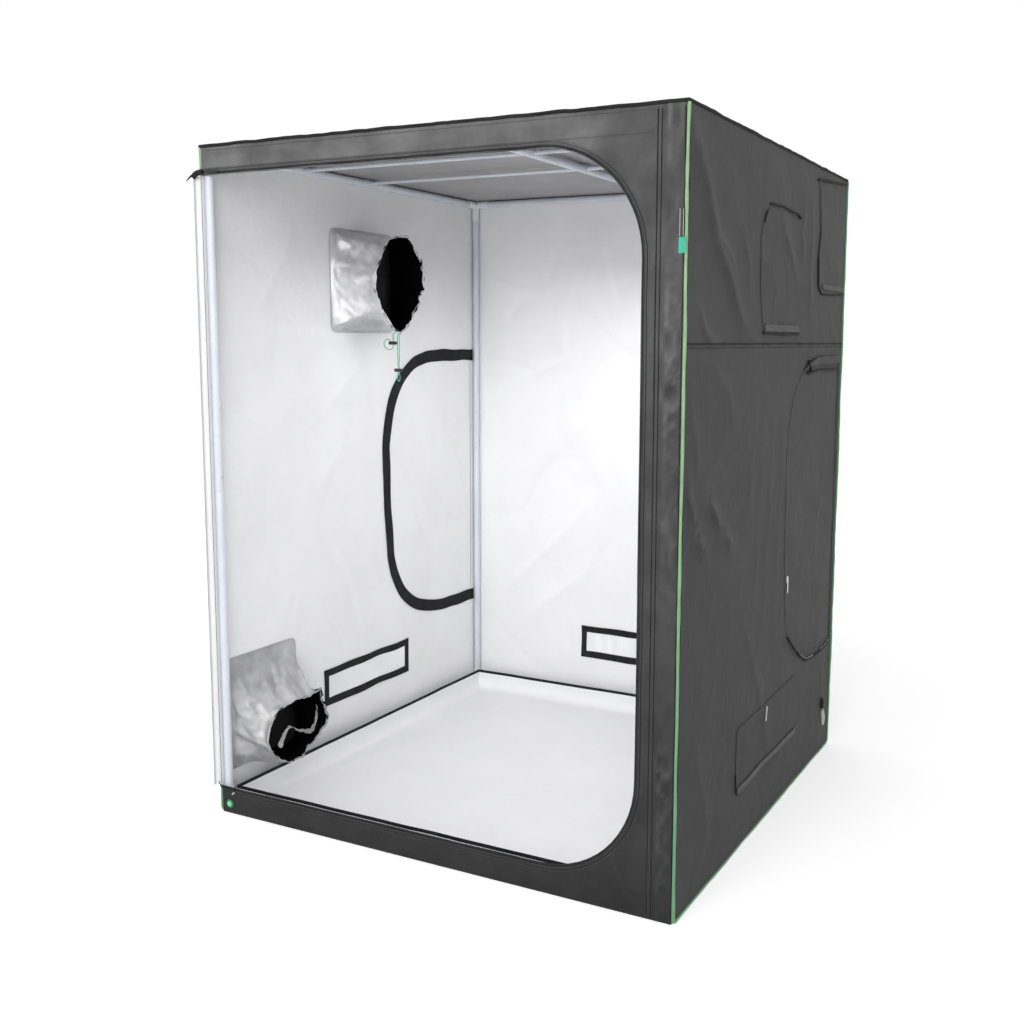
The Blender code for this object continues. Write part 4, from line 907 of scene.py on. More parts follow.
def paint_fold_tones(mesh):
    """Stores, at each point, a tone of painted light and shade: how far it stands proud of its cloth, and how much it
    slopes towards light from the upper left.
    """
    count = len(mesh.vertices)
    slope, around, shares, links = [0.0] * count, [0.0] * count, [0] * count, [0] * count
    for face in mesh.polygons:
        if abs(face.normal.z) > 0.5:
            for k in face.vertices:
                slope[k] += 0.85 * face.normal.y - 0.5 * face.normal.x
                shares[k] += math.copysign(1, face.normal.z)
    for edge in mesh.edges:
        first, second = edge.vertices
        if (mesh.vertices[first].co.xy - mesh.vertices[second].co.xy).length > 0.002:
            for k, other in ((first, second), (second, first)):
                around[k] += mesh.vertices[other].co.z
                links[k] += 1
    tones = []
    for k, vert in enumerate(mesh.vertices):
        if shares[k] == 0 or links[k] < 3:
            tones.append(0.0)
            continue
        proud = math.copysign(1, shares[k]) * (vert.co.z - around[k] / links[k])
        tone = 1.9 * slope[k] / abs(shares[k]) + proud / 0.0018
        tones.append(max(-1.0, min(1.0, tone)))
    mesh.attributes.new("fold", "FLOAT", "POINT").data.foreach_set("value", tones)


def edge_gap(u, v, low, high):
    """How far a place is inside the rectangle between two corners."""
    return min(u - low[0], high[0] - u, v - low[1], high[1] - v)


def slack(low, high, seed, amount=1.0):
    """The small waves and creases of a wall stretched between low and high corners."""

    def lift(u, v):
        free = eased(edge_gap(u, v, low, high) / 0.13)
        broad = noise.noise(Vector((u * 1.5, v * 1.1, seed)))
        middling = noise.noise(Vector((u * 4 + v * 1.5, v * 3 - u, seed + 5)))
        ridge = 1 - abs(noise.noise(Vector((u * 2.4 + v * 1.6, v * 1.9 - u, seed + 9)))) * 2
        return amount * free * (0.0045 * broad + 0.003 * middling + 0.0022 * ridge**3)

    return lift


def on_panel(matrix, outward, lift, proud, points):
    """Points drawn on a panel's plane, moved out to its real surface."""
    return [
        matrix @ Vector((u, v, outward * (lift(u, v) + cloth / 2 + proud))) for u, v in points
    ]


def run(start, end, step=0.02):
    """Evenly spaced points on a straight line."""
    count = max(1, round(math.dist(start, end) / step))
    return [
        (start[0] + (end[0] - start[0]) * k / count, start[1] + (end[1] - start[1]) * k / count)
        for k in range(count + 1)
    ]


thread, given, result = new_group("stitch_dashes", "Along", {"Per metre": 280.0}, ["Mask"])
passed = sums(thread, "MULTIPLY", axes_of(thread, given["Along"])[1], given["Per metre"])
beat = sums(thread, "FRACT", passed)
thread.links.new(sums(thread, "LESS_THAN", beat, 0.72), result["Mask"])


def stitched(tree, per_metre=280.0):
    """The mask of a row of stitches or teeth along a tube."""
    run_along = add_node(tree, "ShaderNodeTexCoord").outputs["UV"]
    return use_group(tree, thread, {"Along": run_along, "Per metre": per_metre})["Mask"]


def stitch_finish(name, color, between):
    """A row of machine stitches: raised thread with gaps between."""
    made, tree, shader, _ = new_material(name, color, 0.6)
    mask = stitched(tree)
    tree.links.new(blend_colors(tree, mask, between, color), shader.inputs["Base Color"])
    return made


dark_stitch = stitch_finish("dark_stitch", (0.03, 0.03, 0.032), (0.07, 0.07, 0.072))


def shell_trim(obj, *materials):
    """Dresses a piece that is sewn into the shell."""
    return dress(obj, "tent", "shell_fabric", *materials)


def dark_seam(name, matrix, outward, lift, start, end, groove_shadows=(0.0013, 0.0013), width=0.007):
    """A flat-felled seam: a folded strip of canvas with a row of stitches on each side.

    Its two edges are turned under; black tubes of these thicknesses lie along them as painted shade in the grooves
    beside the strip."""
    start, end = Vector(start), Vector(end)
    along = end - start
    side = Vector((-along.y, along.x)).normalized() * width
    outline = [start - side, end - side, end + side, start + side]
    strip = cut_panel(
        name, [outline], 0.001, matrix, outward, lambda u, v: lift(u, v) + cloth / 2 + 0.0006
    )
    shell_trim(strip, canvas, canvas)
    for label, share, groove in (("a", -0.6, groove_shadows[0]), ("b", 0.6, groove_shadows[1])):
        beside = side * share
        path = on_panel(matrix, outward, lift, 0.0011, run(start + beside, end + beside))
        shell_trim(tube(f"{name}_stitch_{label}", path, 0.0006), dark_stitch)
        # Painted shade: a black tube in the groove along each edge of the strip.
        under = side * (1 + 0.0006 / width) * math.copysign(1, share)
        path = on_panel(matrix, outward, lift, 0.0002, run(start + under, end + under))
        swell = [0.75 + 0.6 * abs(noise.noise(point * 19)) for point in path]
        shell_trim(tube(f"{name}_edge_{label}", path, groove, swell=swell), binding_black)


def flat_area(outlines):
    """The area inside the first outline and outside the rest."""
    areas = []
    for outline in outlines:
        following = outline[1:] + outline[:1]
        areas.append(abs(sum(a[0] * b[1] - b[0] * a[1] for a, b in zip(outline, following))) / 2)
    return areas[0] - sum(areas[1:])


def gap_to(spot, start, end):
    """The distance from a place to a straight stretch."""
    along = end - start
    share = max(0, min(1, (spot - start).dot(along) / along.length_squared))
    return (spot - start - along * share).length


def creased(line, width, depth):
    """A fold along a line, as a height above the panel that fades at its ends."""
    line = [Vector(point) for point in line]
    low = [min(point[k] for point in line) - 5 * width for k in range(2)]
    high = [max(point[k] for point in line) + 5 * width for k in range(2)]
    length = (line[-1] - line[0]).length

    def height(u, v):
        if not (low[0] < u < high[0] and low[1] < v < high[1]):
            return 0
        spot = Vector((u, v))
        away = min(gap_to(spot, start, end) for start, end in zip(line, line[1:]))
        away = math.hypot(away, 0.009) - 0.009
        nearest_end = min((spot - line[0]).length, (spot - line[-1]).length)
        return depth * math.exp(-away / width) * eased(0.25 + 2 * nearest_end / length)

    return height


wall_low, wall_high = (-0.7485, 0.0053), (0.7485, 1.9934)
seam_height = 1.44


def folded(waves, folds):
    """A wall's waves with drawn folds added: each has its line, width and depth."""
    heights = [creased(*fold) for fold in folds]

    def lift(u, v):
        edge = edge_gap(u, v, wall_low, wall_high)
        return waves(u, v) + eased(edge / 0.05) * sum(height(u, v) for height in heights)

    return lift


back_folds = [
    ([(-0.336, 1.6), (-0.33, 1.385), (-0.46, 1.33), (-0.607, 1.269)], 0.03, -0.0022),
    ([(-0.18, 1.85), (-0.15, 1.75), (-0.1, 1.547)], 0.032, -0.003),
    ([(-0.39, 1.83), (-0.407, 1.723), (-0.44, 1.65)], 0.03, -0.002),
    ([(-0.63, 1.49), (-0.538, 1.608), (-0.43, 1.64)], 0.032, -0.0024),
    ([(-0.66, 0.38), (-0.607, 0.444), (-0.33, 0.698), (-0.2, 0.86)], 0.04, -0.003),
    ([(-0.55, 0.3), (-0.4, 0.42), (-0.15, 0.6)], 0.036, -0.0026),
]
back_slack = folded(slack(wall_low, wall_high, 21, 0.7), back_folds)
back_plane = facing_y(half - cloth / 2)
vent_low, vent_high = (-0.2375, 0.203), (0.2375, 0.303)
back_outlines = [rectangle((-wall_edge, 0.0005), (wall_edge, wall_top))]
back_outlines.append(rectangle(vent_low, vent_high))
back_wall = cut_panel(
    "back_wall_cloth", back_outlines, cloth, back_plane, -1, back_slack, 0.0135
)
shell_trim(back_wall, canvas, lining)
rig.replaces(back_wall, "back_wall")
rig.sheet(
    back_wall,
    flat=(1.4868, 1.9929),
    held="stretched",
    rests_on=["top_rail_back"],
    area=flat_area(back_outlines),
)
seam_ends = ((-0.73, seam_height), (0.73, seam_height))
dark_seam("back_wall_seam", back_plane, -1, back_slack, *seam_ends)

# Vents: fine pale net sewn over a slot low in three of the walls, with a dark webbing
# border round it on the inside.
net, tree, shader, where = new_material("vent_net", (0.9, 0.92, 0.93), 0.7)
grid = use_group(tree, weave, {"Vector": where, "Threads": 900.0})["Height"]
color = blend_colors(tree, mapped(tree, grid, -1.2, 1.0), (0.88, 0.92, 0.94), (0.97, 0.98, 0.98))
tree.links.new(color, shader.inputs["Base Color"])
bump(tree, shader, grid, 0.0002)
webbing = cloth_finish(
    "dark_webbing", (0.01, 0.01, 0.011), (0.022, 0.022, 0.0235), 0.75, 1100, 14, 0.0012,
    0.0, 0.4, 0.15,
)


def wavy(outline, amount, step=0.012, seed=0):
    """The same outline with its edge drawn a little unevenly, as a hand guides cloth."""
    points = []
    for start, end in zip(outline, outline[1:] + outline[:1]):
        for point in run(start, end, step)[:-1]:
            drift = noise.noise_vector(Vector((point[0] * 9, point[1] * 9, seed)))
            points.append((point[0] + drift.x * amount, point[1] + drift.y * amount))
    return points


def wavy_run(points, amount, step=0.014):
    """Even points along an open line, wandering by an amount."""
    path = [points[0]]
    for start, end in zip(points, points[1:]):
        path += run(start, end, step)[1:]
    placed = []
    for u, v in path:
        drift = noise.noise_vector(Vector((u * 11, v * 11, 4)))
        placed.append((u + drift.x * amount, v + drift.y * amount))
    return placed


def vent(name, plane, outward, lift):
    """The net and its border, following the wall's own slack."""

    def behind(depth):
        return lambda u, v: lift(u, v) - depth

    slot = [rectangle((-0.2385, 0.202), (0.2385, 0.304))]
    sheet = cut_panel(f"{name}_net", slot, 0.001, plane, outward, behind(0.0017), 0.03)
    dress(sheet, "tent", "vent_net", net, net)
    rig.replaces(sheet, name)
    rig.sheet(sheet, flat=(0.477, 0.102), held="stretched")
    outer = rectangle((-0.2525, 0.188), (0.2525, 0.318))
    inner = rectangle((-0.2275, 0.213), (0.2275, 0.293))
    rims = [wavy(outer, 0.0042, seed=3), wavy(inner, 0.0042, seed=8)]
    border = cut_panel(f"{name}_border", rims, 0.0012, plane, outward, behind(0.003), 0.02, 0)
    dress(border, "tent", "vent_net", webbing)


vent("vent_back", back_plane, -1, back_slack)

# Left wall: canvas lined in white, seen from inside through the doorway. It has holes for
# two duct sleeves, the service hatch and a vent, and piping sewn along its edges.
left_folds = [
    ([(-0.17, 0.76), (-0.15, 0.706), (-0.07, 0.548), (-0.01, 0.345)], 0.032, -0.0028),
    ([(-0.56, 1.47), (-0.405, 1.478), (-0.206, 1.474), (-0.06, 1.45)], 0.024, -0.0018),
    ([(-0.25, 1.17), (-0.187, 1.246), (-0.08, 1.33), (0.02, 1.4)], 0.04, -0.0032),
    ([(-0.4, 0.6), (-0.392, 0.527), (-0.37, 0.49)], 0.03, -0.0018),
    ([(-0.56, 1.5), (-0.517, 1.569), (-0.396, 1.73), (-0.35, 1.86)], 0.04, -0.0028),
    ([(-0.3, 0.95), (-0.22, 1.0), (-0.1, 1.12)], 0.04, -0.0024),
]
left_slack = folded(slack(wall_low, wall_high, 33, 0.7), left_folds)
left_plane = facing_x(-half + cloth / 2)
hatch_line = [(0.8, 1.39), (0.64, 1.391), (0.49, 1.391), (0.385, 1.384), (0.299, 1.358)]
hatch_line += [(0.233, 1.312), (0.181, 1.25), (0.149, 1.176), (0.131, 1.086), (0.127, 0.976)]
hatch_line += [(0.131, 0.864), (0.137, 0.752), (0.15, 0.638), (0.192, 0.535), (0.27, 0.46)]
hatch_line += [(0.404, 0.412), (0.548, 0.4), (0.68, 0.399), (0.8, 0.4)]


def hatch_outline(grow, hinge_y):
    """A D-shaped outline, straight at the hinge and grown outwards elsewhere."""
    path, _ = smooth_path([(y, z, 0) for y, z in hatch_line], 0.024)
    placed = []
    for before, point, after in zip(path, path[1:], path[2:]):
        along = (after - before).normalized()
        if point.x < hinge_y - 0.012:
            placed.append((point.x + along.y * grow, point.y - along.x * grow))
    return [(hinge_y, placed[0][1]), *placed, (hinge_y, placed[-1][1])]


upper_rim = [(-0.064, 1.788), (0.046, 1.803), (0.094, 1.759), (0.132, 1.693), (0.138, 1.624)]
upper_rim += [(0.095, 1.553), (0.03, 1.488), (-0.01, 1.467), (-0.05, 1.49), (-0.115, 1.554)]
upper_rim += [(-0.152, 1.612), (-0.143, 1.671), (-0.108, 1.73)]
lower_rim = [(-0.619, 0.305), (-0.52, 0.312), (-0.416, 0.316), (-0.379, 0.199), (-0.431, 0.16)]
lower_rim += [(-0.513, 0.118), (-0.57, 0.12), (-0.639, 0.157), (-0.672, 0.218), (-0.658, 0.262)]
sleeves = {
    name: dict(side=side, root=root, root_half=size, mouth=mouth, rim=rim, reach=reach, seed=seed)
    for name, side, root, size, mouth, rim, reach, seed in (
        (
            "sock_left_upper", -1, (0.0, 1.647), (0.1775, 0.175), (0.0, 1.633), upper_rim,
            0.163, 1,
        ),
        (
            "sock_left_lower", -1, (-0.557, 0.294), (0.163, 0.178), (-0.528, 0.22), lower_rim,
            0.117, 4,
        ),
        (
            "sock_right_front", 1, (0.0, 1.649), (0.13, 0.13), (0.0, 1.625),
            arc((0.0, 1.625), 0.062, 0, 330, 11), 0.11, 2,
        ),
        (
            "sock_right_rear", 1, (0.555, 1.776), (0.13, 0.13), (0.555, 1.752),
            arc((0.555, 1.752), 0.062, 0, 330, 11), 0.11, 2,
        ),
    )
}


def squarish(angle, size):
    """A point on a square about the origin whose corners are a little round."""
    across, up = math.cos(angle), math.sin(angle)
    reach = (abs(across) ** 18 + abs(up) ** 18) ** (-1 / 18)
    return Vector((size[0] * across, size[1] * up)) * reach


def sleeve_hole(name):
    """The hole in the wall behind a sleeve, a little inside its sewn edge."""
    sleeve = sleeves[name]
    size = [side - 0.0065 for side in sleeve["root_half"]]
    points = [squarish(math.tau * k / 96, size) + Vector(sleeve["root"]) for k in range(96)]
    return [(point.x, point.y) for point in points]


left_outlines = [
    rectangle(wall_low, wall_high),
    hatch_outline(0.0005, 0.709),
    rectangle(vent_low, vent_high),
    sleeve_hole("sock_left_upper"),
    sleeve_hole("sock_left_lower"),
]
left_wall = cut_panel(
    "left_wall_cloth", left_outlines, cloth, left_plane, -1, left_slack, 0.0135
)
shell_trim(left_wall, canvas, lining)
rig.replaces(left_wall, "left_wall")
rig.sheet(
    left_wall,
    flat=(1.497, 1.9881),
    held="stretched",
    rests_on=["top_rail_left"],
    area=flat_area(left_outlines),
)
vent("vent_left", left_plane, -1, left_slack)
for label, first, last in (("front", -0.73, -0.185), ("back", 0.185, 0.73)):
    seam_ends = ((first, seam_height), (last, seam_height))
    dark_seam(f"left_wall_seam_{label}", left_plane, -1, left_slack, *seam_ends)

# Piping: cord covered in bright green cloth and sewn into the shell's upright and bottom
# edges. Its colour carries painted light and shade: paler and yellower higher up, where the light catches it, and
# darker towards the back.
piping, tree, shader, where = new_material("green_piping", (0.2, 0.62, 0.25), 0.6)
shader.inputs["Sheen Weight"].default_value = 0.3
across, deep, up = axes_of(tree, where)
share = mapped(tree, up, 0.2, 1.4)
color = blend_colors(tree, share, (0.12, 0.36, 0.16), (0.35, 0.56, 0.27))
# Painted shade: the piping is darker towards the back.
color = blend_colors(tree, mapped(tree, deep, 0.1, 0.72), color, (0.08, 0.34, 0.12))
stitches = stitched(tree, 260.0)
worn = use_group(tree, blotch, {"Vector": where, "Scale": 25.0})["Mask"]
shade = sums(tree, "MULTIPLY", sums(tree, "ADD", stitches, worn), 0.22)
color = blend_colors(tree, shade, color, (0.05, 0.22, 0.08))
tree.links.new(color, shader.inputs["Base Color"])
bump(tree, shader, stitches, 0.0002)
bead = 0.7485
piping_foot, piping_top = 0.0053, 1.9932


def smooth_corners(points, radius, step=0.015):
    """Even points along straight runs whose corners are rounded."""
    points = [Vector(point) for point in points]
    path = [points[0]]
    for before, corner, after in zip(points, points[1:], points[2:]):
        start = corner + (before - corner).normalized() * radius
        end = corner + (after - corner).normalized() * radius
        for k in range(7):
            t = k / 6
            path.append(start * (1 - t) ** 2 + corner * 2 * t * (1 - t) + end * t**2)
    path.append(points[-1])
    even = [path[0]]
    for a, b in zip(path, path[1:]):
        count = max(1, round((b - a).length / step))
        even += [a.lerp(b, k / count) for k in range(1, count + 1)]
    return even


def pipe(name, points, seed):
    """A length of piping along points, drawn up a little unevenly by its stitching."""
    placed, swell = [], []
    for point in smooth_corners(points, 0.012):
        drift = noise.noise_vector(point * 7 + Z * seed)
        placed.append(point + drift * 0.0019)
    for point in placed:
        fuller = 1 + 0.45 * eased((point.y + 0.1) / 0.8) * eased(point.z / 0.05)
        swell.append(fuller * (0.85 + 0.4 * abs(noise.noise(point * 17))))
    return shell_trim(tube(name, placed, 0.0041, swell=swell), piping)


def side_route(x, front_end):
    """Down a side's front edge from a height, back along its foot and up its back edge."""
    foot = [(x, -bead, piping_foot), (x, bead, piping_foot)]
    return [(x, -bead, front_end), *foot, (x, bead, piping_top)]


pipe("left_piping", side_route(-bead, 0.083), 1)
pipe("left_header_piping", [(-bead, -bead, 1.915), (-bead, -bead, piping_top)], 2)
pipe("right_piping", side_route(bead, piping_top), 3)

# Painted shade: black tubes lie in the grooves on both sides of the piping at the front right corner.
lies_in, stands_out = bead - 0.0062, bead + 0.0012
for label, x, y in (("front", lies_in, -stands_out), ("side", stands_out, -lies_in)):
    heights = [z for z, _ in run((0.012, 0), (1.985, 0), 0.012)]
    beside = [Vector((x, y, z)) + noise.noise_vector(Z * z * 9) * 0.0011 for z in heights]
    shell_trim(tube(f"right_piping_{label}_edge", beside, 0.0013), binding_black)

# Left hatch: a canvas panel lined in white that closes the big service opening. A wide
# black band is sewn over its zip, inside, and puckers where the zip curves.
hatch = cut_panel(
    "hatch_left_cloth", [hatch_outline(0, 0.705)], cloth, left_plane, -1, left_slack
)
dress(hatch, "hatch_left", "white_lining", canvas, lining)
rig.replaces(hatch, "hatch_left")


def puckered(u, v):
    """The band's height on the wall's inside."""
    return left_slack(u, v) - 0.003 - 0.0012 * noise.noise(Vector((u * 22, v * 22, 2)))


outline = wavy_run(hatch_outline(0.021, 0.7045), 0.005)
outline += wavy_run(hatch_outline(-0.023, 0.7045)[::-1], 0.005)
band = cut_panel("hatch_left_band", [outline], 0.0012, left_plane, -1, puckered, 0.015, 0)
dress(band, "hatch_left", "white_lining", webbing)
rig.sheet(hatch, flat=(0.579, 1.0), held="hung", with_pieces=[band])
for label, height in (("top", 1.389), ("foot", 0.4)):
    outline = [rectangle((0.7055, height - 0.022), (0.7242, height + 0.022))]
    end = cut_panel(
        f"hatch_left_band_{label}", outline, 0.0012, left_plane, -1,
        lambda u, v: left_slack(u, v) - 0.0032, 0.015, 0,
    )
    dress(end, "tent", "white_lining", webbing)

# Duct sleeves: sewn tubes of crinkled silver foil, black inside, each with a drawn mouth.
# The foil is stiff enough to stand out from the wall in flat facets and sharp creases.
foil, tree, shader, where = new_material("silver_foil", (0.5, 0.5, 0.51), 0.45, 0.4)
ridges = []
for stretch in ((6.0, 16.0, 12.0), (20.0, 44.0, 30.0)):
    folds = add_node(tree, "ShaderNodeVectorMath", {0: where, 1: stretch}, operation="MULTIPLY")
    feeds = {"Vector": folds.outputs[0], "Scale": 1.0, "Detail": 3.0}
    ridge = add_node(tree, "ShaderNodeTexNoise", feeds, noise_type="RIDGED_MULTIFRACTAL")
    ridges.append(ridge.outputs[0])
height = sums(tree, "ADD", ridges[0], sums(tree, "MULTIPLY", ridges[1], 0.4))
bump(tree, shader, height, 0.003, 0.8)
mask = use_group(tree, blotch, {"Vector": where, "Scale": 9.0})["Mask"]
shine = blend_colors(tree, mask, (0.36, 0.36, 0.365), (0.56, 0.56, 0.565))
# Painted light and shade: the foil's colour is darker low down and paler high up.
painted_height_light = mapped(tree, axes_of(tree, where)[2], 0.5, 1.5, 0.84, 1.2)
tree.links.new(scaled(tree, shine, painted_height_light), shader.inputs["Base Color"])
tree.links.new(mapped(tree, mask, 0.0, 1.0, 0.36, 0.5), shader.inputs["Roughness"])
sleeve_black = cloth_finish(
    "sleeve_black", (0.002, 0.002, 0.002), (0.004, 0.004, 0.004), 0.9, 900, 18, 0.003,
    specular=0.0,
)


def rim_point(angle, sleeve):
    """A place on the mouth's outline, from its middle: straight between the drawn points."""
    centre = Vector(sleeve["mouth"])
    spots = [Vector(point) - centre for point in sleeve["rim"]]
    turned = sorted((math.atan2(spot.y, spot.x) % math.tau, tuple(spot)) for spot in spots)
    turned = turned + [(turned[0][0] + math.tau, turned[0][1])]
    angle %= math.tau
    if angle < turned[0][0]:
        angle += math.tau
    for (start, first), (end, second) in zip(turned, turned[1:]):
        if start <= angle <= end:
            share = (angle - start) / (end - start)
            return Vector(first).lerp(Vector(second), share)


sleeve_seat = half - cloth - 0.0011


def plain_point(sleeve, angle, along):
    """A point on a smooth sleeve, from its sewn edge at 0 to its mouth at 1."""
    centre = Vector(sleeve["root"]).lerp(Vector(sleeve["mouth"]), along)
    root_half = [size - 0.005 for size in sleeve["root_half"]]
    share = 0.75 * along + 0.25 * eased(along)
    point = squarish(angle, root_half).lerp(rim_point(angle, sleeve), share) + centre
    out = sleeve["reach"] * along**1.4
    return Vector((sleeve["side"] * (sleeve_seat - out), point.x, point.y))


def sleeve_point(sleeve, angle, along):
    """A point on a sleeve that is creased lengthwise, with flat foil between its creases."""
    count = 12
    turns = []
    for k in range(-1, count + 2):
        stray = math.sin(5.1 * (k % count) + sleeve["seed"])
        corner = (k % 3) == 1
        slant = 0.2 * along * math.sin(2.3 * (k % count) + 1 + sleeve["seed"])
        turns.append(math.tau * (k + 0.5) / count + (0 if corner else 0.12 * stray) + slant)
    angle %= math.tau
    plain = plain_point(sleeve, angle, along)
    for start, end in zip(turns, turns[1:]):
        if start <= angle < end:
            first, last = (plain_point(sleeve, turn, along) for turn in (start, end))
            flat = first.lerp(last, (angle - start) / (end - start))
            share = 0.9 * eased(along / 0.2) * (1 - eased((along - 0.86) / 0.14))
            return plain.lerp(flat, share)
    return plain


def duct_sleeve(name, lift, sides=144, rings=34):
    """A sleeve's crushed foil, lined in black, and the line of its mouth."""
    sleeve = sleeves[name]
    side = sleeve["side"]
    bm = bmesh.new()
    turns = [math.tau * k / sides - math.pi / 2 for k in range(sides)]
    spots = [Vector(sleeve["root"]) + squarish(angle, sleeve["root_half"]) for angle in turns]
    rows = [[Vector((side * sleeve_seat, spot.x, spot.y)) for spot in spots]]
    for ring in range(rings + 1):
        rows.append([sleeve_point(sleeve, angle, ring / rings) for angle in turns])
    verts = [[bm.verts.new(point) for point in row] for row in rows]
    for near, far in zip(verts, verts[1:]):
        for k in range(sides):
            after = (k + 1) % sides
            bm.faces.new((near[k], near[after], far[after], far[k]))
    bmesh.ops.recalc_face_normals(bm, faces=bm.faces)
    bm.normal_update()
    probe = verts[3][0]
    faces_out = (probe.co - Vector((0, *sleeve["root"]))).yz.dot(probe.normal.yz) > 0
    if not faces_out:
        bmesh.ops.reverse_faces(bm, faces=bm.faces)
        bm.normal_update()
    for ring, row in enumerate(verts):
        free = eased((ring - 1) / 8)
        for vert in row:
            spot = Vector((vert.co.x * 6, vert.co.y * 9, vert.co.z * 7 + vert.co.x * 4))
            scales = (1, 1.3, 2.6, 3.1, 5.2, 6.1)
            sharp = [abs(noise.noise(spot * scale + Z * 9)) for scale in scales]
            crush = 0.011 * (sharp[0] - sharp[1]) + 0.005 * (sharp[2] - sharp[3]) - 0.0012
            crush += 0.0024 * (sharp[4] - sharp[5])
            vert.co += vert.normal * free * crush
    base = {vert: lift(vert.co.y, vert.co.z) for row in verts[:6] for vert in row}
    for ring, row in enumerate(verts[:6]):
        for vert in row:
            vert.co.x += side * base[vert] * (1 - eased((ring - 1) / 5))
    mouth = [vert.co.copy() for vert in verts[-1]]
    sheet = loose_object(bm, name)
    for finish in (foil, sleeve_black):
        sheet.data.materials.append(finish)
    return thickened(sheet, f"{name}_foil", 0.0012, 0.5, 1), mouth


def crumpled(points, seed, amount, middle_y):
    """A closed path, crumpled as foil is when it is drawn up, and most at its far side."""
    placed, swell = [], []
    for start, end in zip(points, points[1:] + points[:1]):
        for share in (0, 0.5):
            point = start.lerp(end, share)
            rough = 0.35 + 0.65 * eased((point.y - middle_y) / 0.2 + 0.5)
            placed.append(point + noise.noise_vector(point * 55 + Z * seed) * amount * rough)
            swell.append(0.6 + rough * (0.35 + 0.8 * abs(noise.noise(point * 48 + Z * seed))))
    return placed, swell


def dress_sleeve(name, lift, flat):
    side, (middle_y, _) = sleeves[name]["side"], sleeves[name]["mouth"]
    made, mouth = duct_sleeve(name, lift)
    dress(made, "tent", "silver_foil", foil, sleeve_black)
    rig.replaces(made, name)
    edges = []
    for label, radius, seed, amount, finish in (
        ("hem", 0.0034, 2, 0.005, foil),
        ("turned_lining", 0.0022, 9, 0.0075, sleeve_black),
    ):
        path, swell = crumpled(mouth, seed, amount, middle_y)
        edge = tube(f"{name}_{label}", path, radius, closed=True, swell=swell)
        edges.append(dress(edge, "tent", "silver_foil", finish))
    path = [(side * (half - cloth / 2 + lift(y, z)), y, z) for y, z in sleeve_hole(name)]
    sealed, sewn_to = (0.0019, "left_wall") if side < 0 else (0.0013, "right_wall")
    edge = tube(f"{name}_inner_edge", path, sealed, closed=True)
    edges.append(dress(edge, "tent", "silver_foil", sleeve_black))
    return made, edges, dict(flat=flat, held="gathered", rests_on=[sewn_to])


upper, edges, cut = dress_sleeve("sock_left_upper", left_slack, (1.15, 0.18))
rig.sheet(upper, with_pieces=edges, **cut)
lower, edges, cut = dress_sleeve("sock_left_lower", left_slack, (1.0, 0.16))

# The lower sleeve is pushed back into itself, and a fold of its foil shows in its mouth.
fold_line = [
    ((-0.664, -0.396, 0.289), 0.009),
    ((-0.66, -0.4, 0.22), 0.008),
    ((-0.655, -0.43, 0.178), 0.012),
    ((-0.66, -0.484, 0.19), 0.02),
    ((-0.665, -0.527, 0.214), 0.008),
    ((-0.66, -0.566, 0.191), 0.01),
    ((-0.655, -0.59, 0.17), 0.02),
]
fine_line, _ = smooth_path([point for point, _ in fold_line], 0.004)
bm = bmesh.new()
steps = len(fine_line) - 1
bmesh.ops.create_grid(bm, x_segments=steps, y_segments=4, size=0.5)
for vert in bm.verts:
    spot = round((vert.co.x + 0.5) * steps)
    share = spot / steps * (len(fold_line) - 1)
    k = min(int(share), len(fold_line) - 2)
    width = fold_line[k][1] + (fold_line[k + 1][1] - fold_line[k][1]) * (share - k)
    across = Vector((0.35, 0.5, -0.8)) * width * vert.co.y
    crush = noise.noise_vector(Vector((spot * 0.35, vert.co.y * 2, 5))) * 0.004
    vert.co = fine_line[spot] + across + crush
fold_name = "sock_left_lower_fold"
tucked = thickened(loose_object(bm, fold_name), fold_name, 0.001)
dress(tucked, "tent", "silver_foil", foil)
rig.sheet(lower, with_pieces=[*edges, tucked], **cut)

